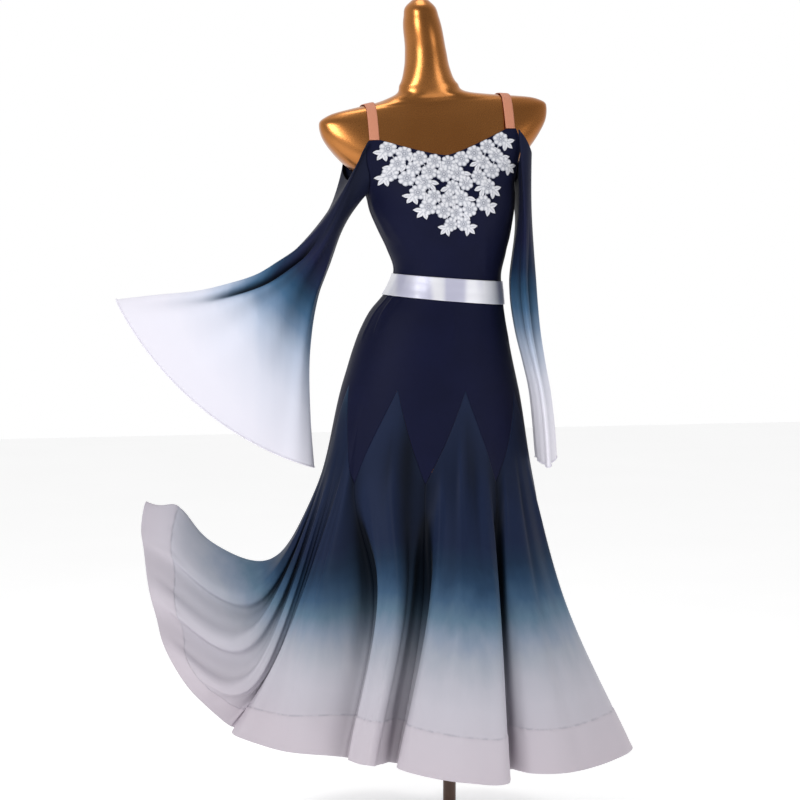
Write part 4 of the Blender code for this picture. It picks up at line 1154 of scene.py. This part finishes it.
# %% Tables of the sleeves' creases
# ring place (in turns) at the start, at the end, start share, end share, half width, height
SWEPT_CREASES = (
    (0.300, 0.215, 0.20, 0.95, 0.034, 0.0030), (0.345, 0.330, 0.24, 0.90, 0.030, -0.0030),
    (0.420, 0.410, 0.25, 1.15, 0.026, 0.0040), (0.560, 0.600, 0.18, 1.12, 0.030, 0.0050),
    (0.660, 0.720, 0.20, 1.15, 0.030, -0.0050), (0.760, 0.830, 0.15, 1.12, 0.030, 0.0060),
    (0.870, 0.920, 0.15, 1.15, 0.024, -0.0050),
)
HANGING_CREASES = (
    (0.080, 0.050, 0.20, 1.15, 0.040, 0.0040), (0.170, 0.150, 0.22, 1.15, 0.026, -0.0060),
    (0.250, 0.250, 0.10, 1.15, 0.024, 0.0050), (0.335, 0.350, 0.22, 1.15, 0.026, -0.0060),
    (0.430, 0.440, 0.20, 1.12, 0.030, 0.0040), (0.570, 0.560, 0.18, 1.15, 0.030, 0.0050),
    (0.660, 0.650, 0.20, 1.15, 0.026, -0.0050), (0.750, 0.750, 0.12, 1.15, 0.026, 0.0050),
    (0.850, 0.860, 0.20, 1.15, 0.030, -0.0050),
)
# share down the swept sleeve, ring place of the deep valley under the rolled edge, its depth
ROLL = np.array([
    (0.12, 0.285, 0.0), (0.22, 0.250, 0.010), (0.33, 0.180, 0.015), (0.44, 0.147, 0.016),
    (0.67, 0.105, 0.011), (0.83, 0.078, 0.004), (1.00, 0.055, 0.000),
])
print(f"creases: {len(SWEPT_CREASES)} on the swept sleeve, {len(HANGING_CREASES)} on the hanging one")

# %% Sleeves
SLEEVE_ROWS = 150
SLEEVE_COLUMNS = 160
SLEEVE_SMOOTHING = 220
RELIEF_COLUMNS = 9
RELIEF_HEIGHT = 0.0045
# In turns of the ring: half width of the valley, and place and half width of the roll above it
VALLEY_WIDTH = 0.030
ROLL_PLACE = 0.060
ROLL_WIDTH = 0.035
ROLL_TO_VALLEY = 0.45
# The dye of the hanging sleeve starts a little sooner, that of the swept one later at its lower edge.
# In the swept sleeve's valley the colour is darkened as painted shade, by so much for each metre of
# depth
HANGING_DYE = 0.03
LOWER_EDGE_DYE = 0.15
VALLEY_PAINTED_SHADE = 9.0


def sleeve_grid(table, hand, crease_table):
    """Sleeve: the table's rings moved along their normal by creases and, on the swept one, by a valley
    and a roll shaped as bells; smoothed down the length below the armhole by taking the mean of the
    rows above and below, again and again; then kept clear of the form."""
    ring = np.arange(SLEEVE_COLUMNS)[None, :] / SLEEVE_COLUMNS
    share = np.linspace(0, 1, SLEEVE_ROWS)[:, None]
    place = share * len(table)
    angle = 2 * math.pi * ring
    points = sleeve_point(table, hand, angle, place)
    flip = slice(None, None, -1) if hand > 0 else slice(None)
    outwards = normals_of(points[:, flip])[:, flip]
    lift = creases(ring, share, crease_table, 1.0) * smooth(place, 0.9, 2.2)
    dye = share + HANGING_DYE
    if hand < 0:
        valley, depth = (curve(ROLL[:, 0], ROLL[:, 1:], share)[..., column] for column in (0, 1))
        away = ring - valley
        lift = lift - depth * np.exp(-(away / VALLEY_WIDTH) ** 2)
        lift = lift + ROLL_TO_VALLEY * depth * np.exp(-((away + ROLL_PLACE) / ROLL_WIDTH) ** 2)
        dye = share - LOWER_EDGE_DYE * (1 - np.cos(angle)) / 2
        # Painted shade: the valley under the roll is darkened through the dye number
        dye = dye - VALLEY_PAINTED_SHADE * depth * np.exp(-(away / 0.034) ** 2)
    points = points + outwards * lift[..., None]
    soft = 0.9 * (smooth(share, 0.02, 0.07) * (1 - smooth(share, 0.26, 0.40)))[1:-1, :, None]
    for _ in range(SLEEVE_SMOOTHING):
        points[1:-1] += soft * ((points[:-2] + points[2:]) / 2 - points[1:-1])
    near = SLEEVE_LIFT + SLEEVE_DEPTH * outer_half(angle + 0 * place)
    points = clear_of_form(points, near * (1 - smooth(place, 0.6, 2.6)))
    shade = relief(points, outwards, RELIEF_COLUMNS, RELIEF_HEIGHT)
    return points[:, flip], np.broadcast_to(dye, points.shape[:2])[:, flip], shade[:, flip]


# %% [markdown]
# ## Rolled hems
# A bell sleeve ends in an edge rolled to 3 mm and stitched down. The roll could be bent from the
# sheet itself. A thin tube along the last ring is simpler, and it stays round everywhere.

# %% Rolled hem
HEM_ROLL_RADIUS = 0.0015
HEM_ROLL_SIDES = 8
# No stretch of the hem runs this way, so that a cross product with it always gives a direction
SLANTED = np.array((0.13, 0.21, 0.97))


def hem_ring(name, points):
    """Closed tube about a line: each point plus the radius times a turned pair of normals."""
    along = unit(np.roll(points, -1, axis=0) - np.roll(points, 1, axis=0))
    aside = unit(np.cross(along, SLANTED))
    above = np.cross(along, aside)
    angle = np.arange(HEM_ROLL_SIDES) * 2 * math.pi / HEM_ROLL_SIDES
    ring = aside[:, None] * np.cos(angle)[:, None] + above[:, None] * np.sin(angle)[:, None]
    grid = points[:, None] + ring * HEM_ROLL_RADIUS
    rows, columns = grid.shape[:2]
    first = np.arange(columns)
    last = first + (rows - 1) * columns
    closing = np.stack([last, first, np.roll(first, -1), np.roll(last, -1)], axis=-1)
    faces = np.concatenate([grid_faces(rows, columns, True), closing])
    piece = new_piece(name, grid, faces, SLEEVES, share=1.0, dye=1.0, shade=1.0)
    print(f"{name}: tube {2000 * HEM_ROLL_RADIUS:.1f} mm thick")
    return piece


# %% [markdown]
# ## Lace
# The applique is white corded lace: eight-petalled flowers with a ringed middle, pointed leaves in
# threes along the two lower edges, and short bars between them. An image on a flat sheet would look
# thin from the side, so every motif is its own small relief. The layout is close to the solid's,
# with one row fewer and a little more at the sides.

# %% Lace sizes and layout
LACE_LIFT = GARMENT_LIFT + 0.0016
LACE_APEX = 1.206
LACE_SHOULDER = 1.358
LACE_HALF_WIDTH = 0.130
FLOWER_SPACING = 0.0268
FLOWER_ROW = 0.0238
FLOWER_RADIUS = 0.0150
LEAF_LENGTH = 0.0175
LEAF_WIDTH = 0.0088
LACE_ROWS = 6
LACE_REACH = 0.116
LACE_SIDE = 0.005
LACE_BELOW_NECK = 0.015
# Depth of the edges that are tucked under, and half the width and the height of a corded bar
LACE_TUCK = 0.0012
BAR_HALF_WIDTH = 0.0009
BAR_HEIGHT = 0.0010
OPEN_PLACES = {(1, 1), (2, -1), (3, 1)}
FLOWER_RINGS = (0.0, 0.10, 0.17, 0.22, 0.28, 0.34, 0.42, 0.55, 0.70, 0.83, 0.93, 1.0, 1.0)


def lace_places():
    """Middles of the flowers by row and number, as across and level."""
    places = {}
    for row in range(LACE_ROWS):
        for number in range(-6, 7):
            across = (number + 0.5 * (row % 2)) * FLOWER_SPACING
            rise = (min(abs(across) / NECK_REACH, 1)) ** NECK_CURVE
            level = NECK_LOW + (NECK_PEAK - NECK_LOW) * rise - LACE_BELOW_NECK - row * FLOWER_ROW
            half = LACE_HALF_WIDTH * (level - LACE_APEX) / (LACE_SHOULDER - LACE_APEX)
            reach = min(half + LACE_SIDE, LACE_REACH)
            if abs(across) < reach and (row, number) not in OPEN_PLACES:
                places[row, number] = (across, level)
    return places


# %% [markdown]
# ### Lace motifs
# Each motif is a small flat grid with a height at each point. It is laid on the bodice as a whole,
# with its outer edge tucked in, so that no motif floats.


# %% Lace motifs
def on_bodice(across, level, height):
    """Flat lace point laid on the bodice: turn = arcsin(across / half width), lifted by height."""
    width = curve(FORM[:, 0], FORM[:, 1:], level)[..., 1]
    turn = np.degrees(np.arcsin(np.clip(across / width, -0.999, 0.999)))
    return garment(turn, np.minimum(level, bodice_top(turn) - 0.001), LACE_LIFT + height)


def flower(across, level, turn, size):
    """Polar grid: eight petals as |cos 4a| lobes, a sunk ring and a raised button in the middle."""
    share = np.array(FLOWER_RINGS)[:, None]
    angle = np.linspace(0, 2 * math.pi, 64, endpoint=False)[None, :]
    lobe = np.abs(np.cos(4 * (angle - turn)))
    radius = FLOWER_RADIUS * size * (0.80 + 0.20 * lobe ** 0.55)
    petal = smooth(share, 0.34, 0.60) * (1 - smooth(share, 0.86, 1.0))
    height = 0.0006 + 0.0011 * petal * (0.35 + 0.65 * lobe ** 0.5)
    button = 0.0013 * np.exp(-(share / 0.13) ** 2)
    rim = 0.0010 * np.exp(-((share - 0.30) / 0.05) ** 2)
    height = height + button + rim - 0.0006 * np.exp(-((share - 0.205) / 0.03) ** 2)
    height[-1] = -LACE_TUCK
    x = radius * share * np.cos(angle)
    y = radius * share * np.sin(angle)
    # Painted shade for the lace's colour: lower parts and the notches between petals get a darker
    # number
    light = np.clip((height - 0.0005) / 0.0012, 0, 1) * (0.35 + 0.65 * lobe ** 0.5)
    return on_bodice(across + x, level + y, height), light, True


def leaf(across, level, angle):
    """Pointed leaf: half width sin(pi s)^0.8 times its width, with a sunk rib and raised sides."""
    share = np.linspace(0, 1, 15)[:, None]
    aside = np.array((-1.0, -1.0, -0.75, -0.4, -0.12, 0.0, 0.12, 0.4, 0.75, 1.0, 1.0))[None, :]
    half = LEAF_WIDTH / 2 * np.sin(math.pi * np.clip(share, 0.02, 0.98)) ** 0.8
    x = share * LEAF_LENGTH + 0 * aside
    y = half * aside
    height = 0.0005 + 0.0010 * np.abs(aside) ** 0.6 * (1 - aside ** 6) + 0 * share
    height[:, (0, -1)] = -LACE_TUCK
    points = on_bodice(across + x * math.cos(angle) - y * math.sin(angle),
                       level + x * math.sin(angle) + y * math.cos(angle), height)
    # The second result is painted shade: darker where the leaf is lower
    return points, np.clip(height / 0.0012, 0.1, 1), False


def bar(first, second):
    """Corded bar between two flower middles: a half-round strip 1.8 mm wide."""
    share = np.linspace(0, 1, 12)[:, None]
    angle = np.linspace(0, math.pi, 6)[None, :]
    first = np.array(first)
    second = np.array(second)
    along = (second - first) / np.linalg.norm(second - first)
    line = first + (second - first) * share
    aside = BAR_HALF_WIDTH * np.cos(angle)
    points = on_bodice(line[:, :1] - along[1] * aside, line[:, 1:] + along[0] * aside,
                       BAR_HEIGHT * np.sin(angle) - LACE_TUCK / 2 + 0 * share)
    # Bars get an even, middling painted shade
    return points, np.full(points.shape[:2], 0.6), False


# %% [markdown]
# ### Lace in one piece
# Bars join every flower to its neighbours, leaves fill the places between them, and sprays of three
# leaves grow out at the two free ends of each row.


# %% All lace motifs
def make_lace():
    """All flowers, leaves and bars joined in one mesh of many small grids."""
    places = lace_places()
    parts = []
    for (row, number), (across, level) in places.items():
        size = 1.0 + 0.05 * math.sin(2.3 * row + 1.1 * number)
        parts.append(flower(across, level, 0.7 * row + 1.9 * number, size))
        beyond = number + (1 if row % 2 else -1)
        for other in ((row, number + 1), (row + 1, number), (row + 1, beyond)):
            if other in places:
                parts.append(bar((across, level), places[other]))
        below = (row + 1, number + (0 if row % 2 == 0 else 1))
        if (row, number + 1) in places and below in places:
            middle = across + FLOWER_SPACING / 2
            swing = 0.9 * math.sin(5 * row + 3 * number)
            parts.append(leaf(middle, level - 0.002, swing - math.pi / 2))
        for hand in (-1, 1):
            beside = (row, number + hand)
            if beside in OPEN_PLACES:
                parts.append(leaf(across + hand * 0.010, level, math.pi / 2 - hand * 1.9))
                parts.append(leaf(across + hand * 0.010, level - 0.004, math.pi / 2 - hand * 2.7))
            if beside not in places and beside not in OPEN_PLACES:
                for swing in (-0.95, 0.0, 0.95):
                    angle = -math.pi / 2 + hand * 0.75 + swing
                    parts.append(leaf(across + hand * 0.0085, level - 0.006, angle))
    points, faces, light, count = [], [], [], 0
    for grid, shade, closed in parts:
        points.append(grid.reshape(-1, 3))
        light.append(np.asarray(shade).ravel())
        faces.append(grid_faces(*grid.shape[:2], closed)[:, ::-1] + count)
        count += grid.shape[0] * grid.shape[1]
    # The share field of the lace carries its painted shade
    piece = new_piece("lace_applique", np.concatenate(points), np.concatenate(faces), LACE,
                      share=np.concatenate(light))
    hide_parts("lace")
    print("lace parts:", len(parts), "points:", count)
    return piece


# %% [markdown]
# ## Straps
# Skin-coloured elastic over each shoulder, from the front peak of the bodice to the back peak. A
# curve drawn by hand would float or cut in, so every point looks for the skin by halving.


# %% Straps
def strap_grid(hand):
    """Strap: for each swing over the shoulder, the skin's distance is found by halving."""
    front = form_point(hand * STRAP_TURN, NECK_PEAK)
    back = form_point(hand * (180 - STRAP_TURN), NECK_PEAK)
    share = np.linspace(0, 1, 90)[:, None]
    aside = np.linspace(-0.5, 0.5, 11)[None, :]
    swing = math.pi * (share - 0.5)
    aim = np.stack([0 * swing, np.sin(swing), np.cos(swing)], axis=-1)
    origin = np.stack([front[0] + (back[0] - front[0]) * share + aside * STRAP_WIDTH,
                       0.5 * (front[1] + back[1]) + 0 * aside + 0 * share,
                       front[2] + 0.0015 + 0 * aside + 0 * share], axis=-1)
    near = np.zeros(origin.shape[:2])
    far = np.full(origin.shape[:2], 0.3)
    for _ in range(24):
        middle = (near + far) / 2
        inside = form_share(origin + aim * middle[..., None])[0] < 1
        near = np.where(inside, middle, near)
        far = np.where(inside, far, middle)
    lift = STRAP_LIFT + 0.0022 * (2 * np.abs(share - 0.5)) ** 6 - 0.0004 * np.abs(2 * aside) ** 6
    return origin + aim * (near + lift)[..., None]


# %% [markdown]
# ## Dressing the form
# Each piece takes the place of its solid and states the flat cut of its cloth.

# %% Lace, bodice and belt
lace = make_lace()
cloth("bodice_front_cloth", "bodice_front", "navy_stretch", bodice_grid(-90.0), STRETCH,
      "stretched", ["dress_form_torso"], with_pieces=[lace])
cloth("bodice_back_cloth", "bodice_back", "navy_stretch", bodice_grid(90.0), STRETCH,
      "stretched", ["dress_form_torso"])
cloth("satin_belt", "belt", "silver_satin", belt_grid(), SATIN, "stretched",
      ["dress_form_torso"], closed=True)

# %% Yokes and godets
PLACES = seam_folds()
RIGHT = PLACES[SEAM_TURNS.index(260.0)]
LEFT = PLACES[SEAM_TURNS.index(78.0)]
cloth("yoke_front_cloth", "yoke_front", "navy_stretch", yoke_grid(RIGHT - FOLDS, LEFT), STRETCH,
      "stretched", ["dress_form_torso"], upper=YOKE_ROWS)
cloth("yoke_back_cloth", "yoke_back", "navy_stretch", yoke_grid(LEFT, RIGHT), STRETCH,
      "stretched", ["dress_form_torso"], upper=YOKE_ROWS)
for number, start in enumerate(PLACES):
    end = PLACES[(number + 1) % len(PLACES)]
    end += FOLDS if end <= start else 0
    grid, along, dye, shade = godet_grid(start, end)
    cloth(f"godet_{number + 1}_cloth", f"godet_{number + 1}", "shaded_satin", grid, SKIRT,
          "hung", ["yoke_front_cloth", "yoke_back_cloth"], share=along, dye=dye, shade=shade)

# %% Sleeves and straps of the dress
for name, table, hand, crease_table in (("sleeve_right", SWEPT_SLEEVE, -1, SWEPT_CREASES),
                                        ("sleeve_left", HANGING_SLEEVE, 1, HANGING_CREASES)):
    grid, dye, shade = sleeve_grid(table, hand, crease_table)
    hem = hem_ring(f"{name}_hem", grid[-1])
    cloth(f"{name}_cloth", name, "shaded_chiffon", grid, SLEEVES, "hung",
          ["bodice_front_cloth"], closed=True, with_pieces=[hem], share=0.0, dye=dye, shade=shade)
for name, hand in (("strap_right", -1), ("strap_left", 1)):
    cloth(f"{name}_elastic", name, "skin_elastic", strap_grid(hand), ELASTIC, "stretched",
          ["dress_form_torso"], shell=STRAP_SHELL)

# %% [markdown]
# ## Floor
# The photo stands on plain white. A pale matt floor that shines a little by itself keeps the soft
# shadow at the base and still looks white.

# %% Floor
mesh = bpy.data.meshes.new("floor")
mesh.from_pydata([(-9, -7, 0), (9, -7, 0), (9, 9, 0), (-9, 9, 0)], [], [(0, 1, 2, 3)])
floor = bpy.data.objects.new("floor", mesh)
bpy.context.scene.collection.objects.link(floor)
paper = Graph("pale floor")
pale = paper.blend((0.88, 0.88, 0.88), (0.92, 0.92, 0.92), paper.noise(2.0, 2.0))
paper.set(Base_Color=pale, Roughness=0.9, Emission_Color=(1.0, 1.0, 1.0), Emission_Strength=0.36,
          Specular_IOR_Level=0.0)
mesh.materials.append(paper.material)
print("floor is 18 x 16 m")

# %% [markdown]
# ## Light
# A white surround that is brightest behind the dress, and three large soft lights: one from the front
# left, a weaker one from the front right and one from above.

# %% Surround
# From this direction to that one, front to back, the surround goes from this strength to that one
SURROUND_FALL = (-0.60, 0.70, 0.30, 1.0)

world = bpy.data.worlds.new("studio")
world.use_nodes = True
sky = world.node_tree
direction = sky.nodes.new("ShaderNodeTexCoord")
parts = sky.nodes.new("ShaderNodeSeparateXYZ")
fall = sky.nodes.new("ShaderNodeMapRange")
for key, value in enumerate(SURROUND_FALL, start=1):
    fall.inputs[key].default_value = value
sky.links.new(direction.outputs["Generated"], parts.inputs[0])
sky.links.new(parts.outputs["Y"], fall.inputs[0])
sky.links.new(fall.outputs[0], sky.nodes["Background"].inputs["Strength"])
sky.nodes["Background"].inputs["Color"].default_value = (1.0, 1.0, 1.0, 1.0)
bpy.context.scene.world = world
print("surround strength from", SURROUND_FALL[2], "to", SURROUND_FALL[3])


# %% Softboxes
def softbox(name, place, aim, size, power):
    """A square area light at a place, turned to its aim."""
    light = bpy.data.lights.new(name, "AREA")
    light.size = size
    light.energy = power
    lamp = bpy.data.objects.new(name, light)
    lamp.location = place
    lamp.rotation_euler = (Vector(aim) - Vector(place)).to_track_quat("-Z", "Y").to_euler()
    bpy.context.scene.collection.objects.link(lamp)
    print(f"{name}: {size} m wide, {power} W")


softbox("key_light", (-2.6, -2.6, 2.3), (0, 0, 0.9), 1.3, 62)
softbox("fill_light", (2.6, -3.2, 1.2), (0, 0, 0.7), 1.6, 26)
softbox("top_light", (0.0, 0.2, 3.8), (0, 0, 1.2), 1.2, 16)

# %% [markdown]
# ## Camera
# The photo looks from a little to the wearer's right and slightly down, with a long lens. The camera
# aims at a point beside the pole, so that the train and the swept sleeve fit in the frame.

# %% Camera
CAMERA_TURN = math.radians(-14)
CAMERA_RISE = math.radians(4.4)
CAMERA_DISTANCE = 5.516
TARGET_ASIDE = -0.1
TARGET_HEIGHT = 0.876
LENS = 124
SENSOR = 36
across = Vector((math.cos(CAMERA_TURN), math.sin(CAMERA_TURN), 0.0))
ahead = Vector((math.sin(CAMERA_TURN), -math.cos(CAMERA_TURN), 0.0))
target = across * TARGET_ASIDE + Vector((0.0, 0.0, TARGET_HEIGHT))
towards = ahead * math.cos(CAMERA_RISE) + Vector((0.0, 0.0, math.sin(CAMERA_RISE)))
lens = bpy.data.cameras.new("camera")
lens.sensor_width = SENSOR
lens.lens = LENS
camera = bpy.data.objects.new("camera", lens)
camera.location = target + towards * CAMERA_DISTANCE
camera.rotation_mode = "QUATERNION"
camera.rotation_quaternion = (-towards).to_track_quat("-Z", "Y")
bpy.context.scene.collection.objects.link(camera)
bpy.context.scene.camera = camera
bpy.context.scene.view_settings.view_transform = "Standard"
print("camera at", [round(value, 3) for value in camera.location])
